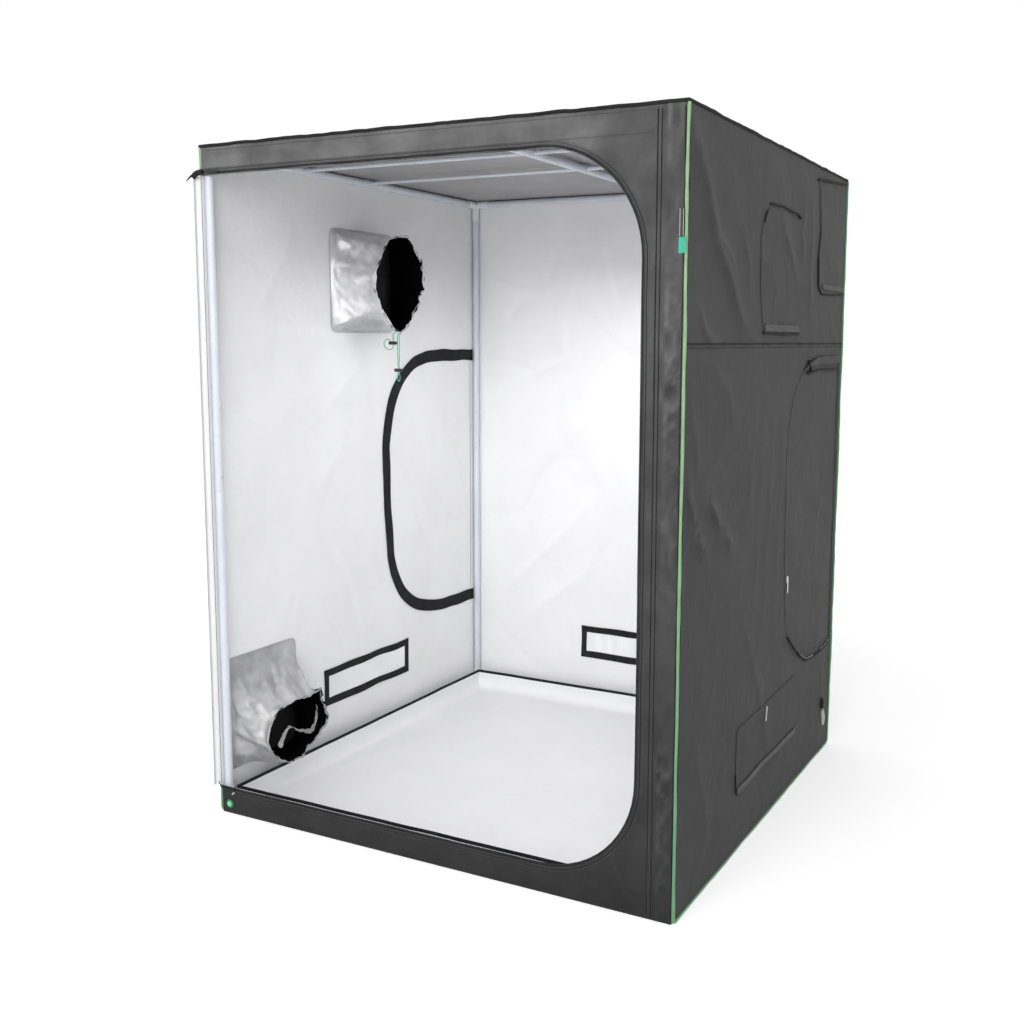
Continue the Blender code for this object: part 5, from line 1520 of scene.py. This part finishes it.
# Right wall: the same canvas, seen from outside in the photograph. Folds from its packing
# run down and back from its top front corner. It has two ports, a vent and a hatch.
right_folds = [
    (
        [(-0.74, 1.97), (-0.625, 1.827), (-0.546, 1.699), (-0.444, 1.625), (-0.357, 1.526)]
        + [(-0.223, 1.45)],
        0.024,
        0.009,
    ),
    ([(-0.6, 1.79), (-0.54, 1.717), (-0.431, 1.666), (-0.38, 1.6)], 0.014, 0.004),
    ([(-0.66, 1.55), (-0.617, 1.479), (-0.565, 1.452), (-0.48, 1.45)], 0.012, 0.005),
    ([(-0.02, 1.82), (0.018, 1.766), (0.161, 1.66)], 0.014, 0.004),
    ([(0.25, 1.9), (0.21, 1.78), (0.25, 1.66)], 0.016, 0.004),
    ([(-0.72, 1.115), (-0.69, 1.05), (-0.66, 1.0)], 0.015, 0.009),
    ([(-0.575, 1.06), (-0.54, 1.03), (-0.475, 0.965)], 0.014, 0.01),
    ([(-0.46, 0.965), (-0.38, 0.902)], 0.014, 0.008),
    ([(-0.65, 0.975), (-0.6, 0.93)], 0.014, 0.007),
    ([(-0.7, 1.32), (-0.655, 1.2), (-0.64, 1.1)], 0.015, 0.003),
    ([(-0.5, 1.38), (-0.42, 1.31), (-0.38, 1.2)], 0.015, 0.003),
    ([(-0.35, 1.75), (-0.28, 1.66), (-0.27, 1.52)], 0.012, 0.003),
    ([(0.3, 1.92), (0.33, 1.82), (0.31, 1.66), (0.34, 1.5)], 0.014, 0.004),
    ([(-0.17, 1.36), (-0.22, 1.1), (-0.28, 0.85)], 0.022, 0.002),
    ([(-0.09, 1.32), (-0.14, 1.0), (-0.18, 0.6)], 0.02, 0.0018),
    ([(0.0, 1.3), (-0.05, 0.95), (-0.09, 0.55)], 0.022, 0.002),
    ([(0.1, 1.3), (0.05, 0.9), (0.04, 0.5)], 0.02, 0.0017),
    ([(-0.3, 0.75), (-0.1, 0.42), (0.06, 0.12)], 0.02, 0.003),
    ([(-0.66, 0.5), (-0.55, 0.25), (-0.5, 0.08)], 0.02, 0.003),
]
right_slack = folded(slack(wall_low, wall_high, 47), right_folds)
right_plane = facing_x(half - cloth / 2)
right_outlines = [
    rectangle(wall_low, wall_high),
    hatch_outline(0.0005, 0.709),
    rectangle(vent_low, vent_high),
    sleeve_hole("sock_right_front"),
    sleeve_hole("sock_right_rear"),
]
right_wall = cut_panel(
    "right_wall_cloth", right_outlines, cloth, right_plane, 1, right_slack, 0.0097
)
shell_trim(right_wall, canvas, lining)
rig.replaces(right_wall, "right_wall")
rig.sheet(
    right_wall,
    flat=(1.497, 1.9881),
    held="stretched",
    rests_on=["top_rail_right"],
    area=flat_area(right_outlines),
)
vent("vent_right", right_plane, 1, right_slack)
for name in ("sock_right_front", "sock_right_rear"):
    sleeve, edges, cut = dress_sleeve(name, right_slack, (0.55, 0.12))
    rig.sheet(sleeve, with_pieces=edges, **cut)
seam_ends = ((-0.742, seam_height), (0.742, seam_height))
dark_seam(
    "right_wall_seam", right_plane, 1, right_slack, *seam_ends, (0.0013, 0.0032), width=0.0038
)


def standing(depth):
    """The right wall's surface, stood off by a depth."""
    return lambda u, v: right_slack(u, v) + depth


def edge_line(name, body, lift, points, radius, finish, wander=0.002):
    """A narrow tube along drawn points, lying on the right wall's outer side: a seam, or a painted shadow line or
    glint.
    """
    path = on_panel(right_plane, 1, lift, 0, wavy_run(points, wander, 0.008))
    swell = [0.7 + 0.6 * abs(noise.noise(point * 21)) for point in path]
    return dress(tube(name, path, radius, swell=swell), body, "shell_fabric", finish)


# Painted shade: the flaps' hems take a darker canvas than the wall, so that their raised folds don't show lit.
hem_painted_shade = cloth_finish(
    "worn_hem", (0.022, 0.022, 0.0222), (0.038, 0.038, 0.0384), 0.6, 650, 6, 0.004, 0.03, 0.4
)


def hem_stand(u, v):
    """A folded hem's height: it is drawn up a little along its stitching."""
    return right_slack(u, v) + 0.0046 + 0.0012 * noise.noise(Vector((u * 16, v, 1)))


def bound_flap(name, outline, hem_line, sewn_shadow_lines, free_shadow_lines, flat):
    """A canvas flap sewn on along its top, with a thick folded hem along its free edge.

    Painted shade: black tubes, in a binding's colour, stand for the dark lines along its sewn edge,
    which stays on the wall, and wherever its free edges stand off the wall."""
    flap = cut_panel(
        f"{name}_cloth", [wavy(outline, 0.002, 0.02, seed=4)], 0.0008, right_plane, 1,
        standing(0.0022), 0.0097,
    )
    dress(flap, name, "shell_fabric", canvas, lining)
    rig.replaces(flap, name)
    outline = wavy(rectangle(*hem_line, 0.006), 0.0012, 0.015, seed=6)
    hem = cut_panel(f"{name}_hem", [outline], 0.0026, right_plane, 1, hem_stand, 0.007)
    trims = [dress(hem, name, "shell_fabric", hem_painted_shade, hem_painted_shade)]
    for k, line in enumerate(sewn_shadow_lines):
        edge_line(f"{name}_sewn_edge_shadow_{k + 1}", "tent", standing(0.0032), *line, binding_black)
    for k, line in enumerate(free_shadow_lines):
        label = f"{name}_binding_{k + 1}"
        trims.append(edge_line(label, name, standing(0.0032), *line, binding_black))
    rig.sheet(flap, flat=flat, held="hung", with_pieces=trims)


bound_flap(
    "port_flap_front",
    [(-0.148, 1.474), (0.2, 1.474), (0.182, 1.65), (0.176, 1.812), (-0.12, 1.824)]
    + [(-0.166, 1.797), (-0.196, 1.73), (-0.186, 1.605)],
    ((-0.142, 1.48), (0.196, 1.5)),
    (([(-0.128, 1.831), (-0.02, 1.835), (0.15, 1.828), (0.18, 1.819)], 0.0032),),
    (
        ([(-0.174, 1.776), (-0.165, 1.792), (-0.148, 1.812)], 0.0022),
        ([(-0.15, 1.475), (0.05, 1.472), (0.2, 1.474)], 0.004),
    ),
    (0.35, 0.35),
)
bound_flap(
    "port_flap_rear",
    [(0.44, 1.603), (0.728, 1.614), (0.728, 1.948), (0.386, 1.952), (0.418, 1.802)]
    + [(0.394, 1.719), (0.402, 1.63)],
    ((0.45, 1.62), (0.72, 1.636)),
    (
        ([(0.364, 1.955), (0.44, 1.962), (0.54, 1.968)], 0.0048),
        ([(0.53, 1.967), (0.64, 1.975), (0.735, 1.983)], 0.0034),
    ),
    (
        ([(0.398, 1.93), (0.412, 1.86), (0.418, 1.802)], 0.0008),
        ([(0.418, 1.802), (0.404, 1.75), (0.394, 1.719)], 0.0015),
        ([(0.394, 1.719), (0.402, 1.628), (0.44, 1.604)], 0.0028),
        ([(0.44, 1.604), (0.6, 1.606), (0.728, 1.613)], 0.0034),
    ),
    (0.35, 0.35),
)
bound_flap(
    "vent_flap_right",
    rectangle((-0.3, 0.172), (0.303, 0.373), 0.02),
    ((-0.29, 0.178), (0.295, 0.196)),
    (),
    (([(-0.303, 0.24), (-0.3, 0.19), (-0.29, 0.174)], 0.0015),),
    (0.61, 0.205),
)

# Vent flap's tab: a folded loop of pale tape, sewn near the flap's top to pull it open by.
tape_pale = cloth_finish("pale_tape", (0.62, 0.62, 0.61), (0.5, 0.5, 0.5), 0.6, 1200, 20, 0.0006)
tab_outline = [(-0.05, 0.322), (-0.036, 0.32), (-0.022, 0.36), (-0.036, 0.363)]
tab = cut_panel(
    "vent_flap_tab", [tab_outline], 0.0016, right_plane, 1, standing(0.0056), 0.006
)
dress(tab, "vent_flap_right", "shell_fabric", tape_pale, tape_pale)

# Cable sleeve: a small gathered cuff in the wall's bottom back corner, black cloth above and
# turned out to its silver lining below.
for label, centre, size, pleats, finish in (
    ("cuff", (0.7515, 0.632, 0.182), (0.009, 0.014, 0.032), 10, binding_black),
    ("lining", (0.752, 0.658, 0.124), (0.008, 0.011, 0.044), 8, tape_pale),
):
    bm = bmesh.new()
    bmesh.ops.create_uvsphere(bm, u_segments=48, v_segments=32, radius=1)
    for vert in bm.verts:
        turn = math.atan2(vert.co.y, vert.co.x)
        drawn = 1 - 0.35 * abs(vert.co.z) ** 3
        pleat = 1 + 0.13 * math.sin(pleats * turn + 2.5 * vert.co.z)
        bunch = 1 + 0.16 * noise.noise(vert.co * 3 + Z * pleats)
        lean = 0.3 * vert.co.z
        spot = Vector((vert.co.x * pleat, vert.co.y * pleat - lean, vert.co.z)) * drawn * bunch
        vert.co = Vector([centre[k] + spot[k] * size[k] for k in range(3)])
    shell_trim(from_bmesh(bm, f"cable_sleeve_{label}"), finish)

# Right hatch: a canvas door in the wall, closed by a zip under a folded storm strip. The
# coil is black nylon, and the strip is the shell's own canvas.
zip_black, tree, shader, _ = new_material("zip_coil", (0.012, 0.012, 0.013), 0.38)
teeth = stitched(tree, 420.0)
bump(tree, shader, teeth, 0.0008)
color = blend_colors(tree, teeth, (0.006, 0.006, 0.006), (0.03, 0.03, 0.032))
tree.links.new(color, shader.inputs["Base Color"])
right_hatch = cut_panel(
    "hatch_right_cloth", [hatch_outline(0, 0.705)], cloth, right_plane, 1, right_slack, 0.0125
)
dress(right_hatch, "hatch_right", "shell_fabric", canvas, lining)
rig.replaces(right_hatch, "hatch_right")
line_end = 0.69
outline = wavy_run(hatch_outline(0.012, line_end), 0.0022)
outline += wavy_run(hatch_outline(-0.014, line_end)[::-1], 0.0022)


def strip_stand(u, v):
    """The storm strip's height: puckered, and folded over itself along the hatch's top."""
    pucker = 0.0007 * noise.noise(Vector((u * 26, v * 26, 2)))
    return right_slack(u, v) + 0.0016 + pucker + 0.007 * eased((v - 1.355) / 0.03)


strip = cut_panel(
    "hatch_right_strip", [outline], 0.0006, right_plane, 1, strip_stand, 0.0125, 0
)
dress(strip, "hatch_right", "shell_fabric", canvas)
coil_line = wavy_run(hatch_outline(0.0, line_end), 0)
coil_path = on_panel(right_plane, 1, right_slack, -0.0002, coil_line)
coil = dress(tube("hatch_right_coil", coil_path, 0.0008), "hatch_right", "zip_plastic", zip_black)
hinge_line = [(0.7072, 0.398 + 0.0124 * k) for k in range(81)]
edge_line("hatch_right_hinge_seam", "tent", right_slack, hinge_line, 0.0036, canvas, 0.0)
# Painted highlight: pale grey tubes along the hatch's foot stand for glints on its zip.
zip_glint = plain_finish("zip_tape_edge", (0.32, 0.32, 0.33), (0.12, 0.12, 0.125), 0.4)
trims = [strip, coil]
foot_line = [(0.18, 0.53), (0.25, 0.482), (0.33, 0.435), (0.4, 0.402), (0.48, 0.395)]
foot_line += [(0.574, 0.394), (0.64, 0.396), (0.69, 0.4)]
# Painted shade: black tubes stand for the shadows under the strip's top fold, in the tuck at its corner and along its
# foot.
for label, points, radius, finish in (
    ("fold_shadow", [(0.315, 1.352), (0.45, 1.361), (0.69, 1.358)], 0.0036, binding_black),
    ("tuck", [(0.318, 1.392), (0.336, 1.372), (0.352, 1.356)], 0.0056, binding_black),
    ("foot_shadow", [(u, v - 0.006) for u, v in foot_line], 0.0036, binding_black),
    ("foot_edge", foot_line[2:5], 0.0018, zip_glint),
    ("foot_edge_rear", foot_line[5:], 0.0016, zip_glint),
):
    name = f"hatch_right_{label}"
    trims.append(edge_line(name, "hatch_right", standing(0.0052), points, radius, finish))
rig.sheet(right_hatch, flat=(0.579, 1.0), held="hung", with_pieces=trims)

# Roof: one flat canvas panel over the poles, lined in white beneath and bound in black tape
# along its four edges. Its lining takes a grey colour, painted shade under the roof.
roof_low, roof_high = (-bead, -bead), (bead, bead)
roof_slack = slack(roof_low, roof_high, 60, 0.7)
roof_plane = Matrix.Translation((0, 0, 1.999))
roof = cut_panel(
    "roof_cloth", [rectangle(roof_low, roof_high)], cloth, roof_plane, 1, roof_slack, 0.025
)
shell_trim(roof, canvas, roof_lining)
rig.replaces(roof, "roof")
corners = rectangle(roof_low, roof_high)
rim_path = []
for start, end in zip(corners, corners[1:] + corners[:1]):
    for x, y in run(start, end, 0.016)[:-1]:
        drift = noise.noise_vector(Vector((x * 8, y * 8, 5)))
        quick = noise.noise(Vector((x * 30, y * 30, 2)))
        rim_path.append((x + drift.x * 0.0015, y + drift.y * 0.0015, 1.9975 + quick * 0.0018))
roof_binding = shell_trim(tube("roof_binding", rim_path, 0.005, closed=True), binding_black)
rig.sheet(
    roof,
    flat=(1.497, 1.497),
    held="stretched",
    rests_on=["top_rail_front", "top_rail_back"],
    with_pieces=[roof_binding],
)
groundsheet = cut_panel(
    "groundsheet_cloth", [rectangle((-0.743, -0.7475), (0.743, 0.7475))], cloth,
    Matrix.Translation((0, 0, cloth / 2)), -1, lambda u, v: 0, 0.1,
)
shell_trim(groundsheet, canvas, lining)
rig.replaces(groundsheet, "groundsheet")
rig.sheet(groundsheet, flat=(1.486, 1.495), held="laid")

# Front panel: the header, stile and footer that frame the doorway, in one piece of canvas.
# The door's zip runs round its inner edge, and a folded seam runs down the stile.
front_plane = facing_y(-half + cloth / 2)
front_wide = slack((-wall_edge, 0.0005), (wall_edge, wall_top), 72, 0.8)


def front_slack(u, v):
    """Soft waves, with short pulls between the stile's seam and its piping."""
    pulls = 1 - 3 * abs(noise.noise(Vector((u * 7 + v * 5, v * 9 - u * 13, 3))))
    pulls += 0.5 - 2 * abs(noise.noise(Vector((u * 16 - v * 6, v * 15 + u * 17, 7))))
    patch = eased(0.25 + v * 0.25 + noise.noise(Vector((u * 2, v * 3.5, 12))))
    near = eased((u - 0.69) / 0.012) * eased((wall_edge - u) / 0.014)
    header = eased((v - 1.925) / 0.015) * eased((wall_top - v) / 0.02)
    footer = eased((0.075 - v) / 0.02) * eased(v / 0.02)
    ripple = noise.noise(Vector((u * 7, v * 16, 9)))
    rise = front_wide(u, v) + 0.0022 * near * patch * pulls
    return rise + 0.0014 * ripple * (header + footer)


def round_end(right, bottom, top, radius):
    """Round corners at the right of an opening, from its bottom to its top."""
    points = arc((right - radius, bottom + radius), radius, 270, 360, 14)
    return points + arc((right - radius, top - radius), radius, 0, 90, 14)


def doorway_edge(grow):
    """The doorway's edge from the bottom left to the top left, grown outwards."""
    right, bottom, top = 0.638 + grow, 0.083 - grow, 1.915 + grow
    rounded = round_end(right, bottom, top, 0.27 + grow)
    return [(-wall_edge, bottom), *rounded, (-wall_edge, top)]


front_outline = [(-wall_edge, wall_top), *doorway_edge(0)[::-1], (-wall_edge, 0.0005)]
front_outline += [(wall_edge, 0.0005), (wall_edge, wall_top)]
front_panel = cut_panel(
    "front_panel_cloth", [front_outline], cloth, front_plane, 1, front_slack, 0.0105
)
shell_trim(front_panel, canvas, lining)
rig.replaces(front_panel, "front_panel")


def along_doorway(name, grow, proud, radius, finish, slot="shell_fabric", wander=0.0):
    """A cord or row of stitches that follows the doorway's edge."""
    path = wavy_run(doorway_edge(grow), wander)
    points = on_panel(front_plane, 1, front_slack, proud, path)
    return dress(tube(name, points, radius), "tent", slot, finish)


tape_outline = doorway_edge(0.001) + wavy_run(doorway_edge(0.0138)[::-1], 0.0012)
zip_tape = cut_panel(
    "front_zip_tape", [tape_outline], 0.0012, front_plane, 1,
    lambda u, v: front_slack(u, v) + 0.0018, 0.014, 0,
)
shell_trim(zip_tape, canvas)
along_doorway("front_zip_coil", 0.0078, 0.0014, 0.0018, zip_black, "zip_plastic")
edge_binding = along_doorway(
    "front_edge_binding", 0.0046, -0.0012, 0.0034, binding_black, wander=0.0022
)
# Painted shade: a black tube along the zip tape's outer edge stands for the groove there.
along_doorway("front_tape_groove", 0.0143, 0.0002, 0.0011, binding_black, wander=0.001)
along_doorway("front_stitch_inner", 0.0117, 0.0016, 0.0005, dark_stitch)
along_doorway("front_stitch_outer", 0.0192, 0.0001, 0.0005, dark_stitch)
dark_seam(
    "front_seam", front_plane, 1, front_slack, (0.682, 0.008), (0.679, 1.985), (0.0015, 0.0022),
    width=0.0044,
)
for label, up in (("low", 1.932), ("high", 1.984)):
    path = on_panel(front_plane, 1, front_slack, 0.0002, run((-0.73, up), (0.665, up)))
    shell_trim(tube(f"header_stitch_{label}", path, 0.0006), dark_stitch)
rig.sheet(
    front_panel,
    flat=(0.1, 4.73),
    held="stretched",
    rests_on=["top_rail_front", "bottom_rail_front"],
    with_pieces=[zip_tape, edge_binding],
)

# Label: a small folded tag caught in the stile's piping, plain green below and plain black
# above, where it is narrower.
tag_green = plain_finish("tag_green", (0.045, 0.42, 0.28), (0.035, 0.36, 0.24), 0.6, 0.0, 200.0)
tag_black = plain_finish("tag_black", (0.02, 0.02, 0.021), (0.035, 0.035, 0.036), 0.45, 0.0, 200.0)


def over_piping(u, v):
    """The tag lies on the stile and rises over the piping beside it."""
    return front_slack(u, v) * 0.4 + 0.004 + 0.0035 * eased((u - 0.739) / 0.008)


for label, low, high, finish in (
    ("lower", (0.7315, 1.654), (0.7505, 1.691), tag_green),
    ("upper", (0.7325, 1.6915), (0.744, 1.757), tag_black),
):
    outline = [rectangle(low, high, 0.001)]
    tag = cut_panel(f"stile_label_{label}", outline, 0.001, front_plane, 1, over_piping, 0.004)
    shell_trim(tag, finish, finish)

tag_thread = stitch_finish("tag_thread", (0.6, 0.6, 0.6), (0.1, 0.1, 0.1))
for label, across in (("left", 0.7335), ("right", 0.743)):
    points = run((across, 1.693), (across, 1.7555), 0.004)
    path = [front_plane @ Vector((u, v, over_piping(u, v) + 0.0007)) for u, v in points]
    shell_trim(tube(f"stile_label_edge_{label}", path, 0.0008), tag_thread)

# Small fixings on the front: a green stud through the footer by the left post, the zip's
# metal end stop above it, and the ends of the zip tape, which stick out past both corners.
stud_spot, stop_spot = Vector((-0.713, -0.7515, 0.031)), Vector((-0.698, -0.7525, 0.067))
stud_green = plain_finish("stud_green", (0.2, 0.72, 0.42), (0.12, 0.55, 0.3), 0.35, 0.0, 120.0)
stud_ring = plain_finish("stud_ring", (0.01, 0.12, 0.05), (0.02, 0.18, 0.08), 0.5, 0.0, 120.0)
for label, radius, low, high, finish in (
    ("ring", 0.0135, 0.0, 0.0016, stud_ring),
    ("head", 0.0085, 0.0012, 0.005, stud_green),
):
    bm = bmesh.new()
    rod(bm, radius, stud_spot - Y * low, stud_spot - Y * high, min(0.0014, (high - low) * 0.4))
    shell_trim(from_bmesh(bm, f"footer_stud_{label}"), finish)
bm = bmesh.new()
rod(bm, 0.0028, stop_spot - X * 0.005 - Z * 0.005, stop_spot + X * 0.005 + Z * 0.004, 0.001)
shell_trim(from_bmesh(bm, "footer_zip_stop"), steel)


def tapered(name, points, radius, first, final):
    """A twist of tape whose thickness goes from the first share of a radius to the final."""
    path, _ = smooth_path(points, 0.002)
    last = len(path) - 1
    swell = [first + (final - first) * k / last for k in range(last + 1)]
    swell = [share * (1 + 0.25 * noise.noise(point * 130)) for share, point in zip(swell, path)]
    return shell_trim(tube(name, path, radius, swell=swell), binding_black)


foot_tape = [(-0.69, -0.7525, 0.0785), (-0.72, -0.7535, 0.078), (-0.744, -0.7545, 0.082)]
foot_tape.append((-0.752, -0.7565, 0.097))
head_tape = [(-0.734, -0.757, 1.925), (-0.745, -0.76, 1.923), (-0.756, -0.763, 1.918)]
head_tape.append((-0.764, -0.765, 1.91))
tail_tape = [(-0.762, -0.765, 1.912), (-0.772, -0.766, 1.912), (-0.781, -0.766, 1.906)]
tail_tape.append((-0.788, -0.766, 1.9))
tapered("footer_tape_end", foot_tape, 0.0045, 1.0, 0.25)
tapered("header_tape_end", head_tape, 0.0095, 0.75, 0.85)
tapered("header_tape_tail", tail_tape, 0.003, 1.0, 0.5)

# Door: the doorway's one panel of canvas, unzipped and folded back round the front left
# corner with its white lining outwards. Its zip tape shows as a black border.
door_bottom, door_top, door_reach = 0.084, 1.914, 1.401
axis_x, axis_y, fold = -0.764, -0.764, 0.014


def door_offset(along, up):
    """How far the hanging door stands out at a place on its width and height."""
    reach = min(1, max(0, (along - 0.054) / 0.5))
    bow = 0.018 * math.sin(math.pi * reach) ** 2 if reach < 1 else 0
    edge = min(up - door_bottom, door_top - up) - 0.06
    rise = max(0, min(1, edge / ((door_top - door_bottom) / 2 - 0.06)))
    hang = math.sin(math.pi / 2 * rise)
    free = max(0, min(1, (door_reach - 0.06 - along) / 0.5))
    wave = math.sin(math.tau * along / 0.25 + up)
    return hang * (bow + 0.006 * (1 + wave) / 2 * min(1, free * 4) * reach)


def hung_door(point):
    """Moves a point of the flat door, drawn from its hinge, to where the door hangs."""
    along, up, depth = point
    turn = math.sin(math.pi / 2 * min(1, max(0, along) / 0.0185))
    waves = 0.0015 * noise.noise(Vector((along * 5, up * 3, 8))) * eased(along / 0.1)
    x = axis_x - fold * turn - door_offset(along, up) - waves - depth
    return Vector((x, axis_y + along, up))


def door_border(grow, hinge=0.02):
    """The door's edge from its hinge and back, drawn in by an amount."""
    right, low, high = door_reach - grow, door_bottom + grow, door_top - grow
    return [(hinge, low), *round_end(right, low, high, 0.269 - grow), (hinge, high)]


def hang(piece, *finishes):
    """Hangs a flat piece of the door in place and dresses it."""
    for vert in piece.data.vertices:
        vert.co = hung_door(vert.co)
    return dress(smoothed(piece), "door", "white_lining", *finishes)


flat_door = Matrix.Identity(4)
door_shape = door_border(0, 0.001)
door = cut_panel("door_cloth", [door_shape], 0.0016, flat_door, 1, lambda u, v: 0, 0.016)
hang(door, lining, canvas)
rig.replaces(door, "door")
outline = [door_border(0.0005) + wavy_run(door_border(0.034)[::-1], 0.002)]
border = cut_panel(
    "door_zip_border", outline, 0.001, flat_door, 1, lambda u, v: 0.0016, 0.016
)
hang(border, webbing, webbing)
coil_path = [hung_door((u, v, 0.0024)) for u, v in wavy_run(door_border(0.006), 0)]
coil = dress(tube("door_zip_coil", coil_path, 0.0018), "door", "zip_plastic", zip_black)
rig.sheet(
    door,
    flat=(1.4, 1.83),
    held="hung",
    rests_on=["door_hinge_tape"],
    area=flat_area([door_shape]),
    with_pieces=[border, coil],
)

# Hinge fold: the strip of lined canvas, sewn to the left wall, that the door turns on.
fold_path = [(-0.7509, -0.71), (-0.7509, axis_y + fold * 2)]
for out, along in ((0.5, 1.5), (0, 1.07), (-0.25, 0.72), (-0.217, 0.426), (-0.0775, 0.155)):
    fold_path.append((axis_x + fold * out, axis_y + fold * along))
fine_fold, fold_length = smooth_path([(x, y, 0) for x, y in fold_path], 0.002)
bm = bmesh.new()
last = len(fine_fold) - 1
bmesh.ops.create_grid(bm, x_segments=last, y_segments=60, size=0.5)
for vert in bm.verts:
    spot = round((vert.co.x + 0.5) * last)
    up = door_bottom + (vert.co.y + 0.5) * (door_top - door_bottom)
    soft = 0.0005 * noise.noise(Vector((spot * 0.1, up * 14, 1)))
    vert.co = fine_fold[spot] + Vector((-soft, 0, up))
fold_name = "door_hinge_fold"
hinge_fold = thickened(loose_object(bm, fold_name), fold_name, 0.0011, 0.9)
shell_trim(hinge_fold, lining)
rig.replaces(hinge_fold, "door_hinge_tape")
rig.sheet(hinge_fold, flat=(round(fold_length, 4), 1.83), held="hung", rests_on=["left_wall"])

# Zip sliders: black enamelled metal on the door and bright metal on the hatch, with their
# pulls lying along the zips. They keep their solid shapes from the frame.
slider_paint = plain_finish(
    "slider_enamel", (0.02, 0.02, 0.021), (0.04, 0.04, 0.042), 0.3, 0.4, 300.0
)
frame["nodes"]["door_slider"].material_slots[0].material = slider_paint
frame["nodes"]["hatch_slider"].material_slots[0].material = steel

size_note = {"cad_box": [list(map(float, corner)) for corner in cad_box]}
size_note["scene_box"] = [list(map(float, corner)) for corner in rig.bounds()]
with open("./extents.json", "w") as handle:
    json.dump(size_note, handle)
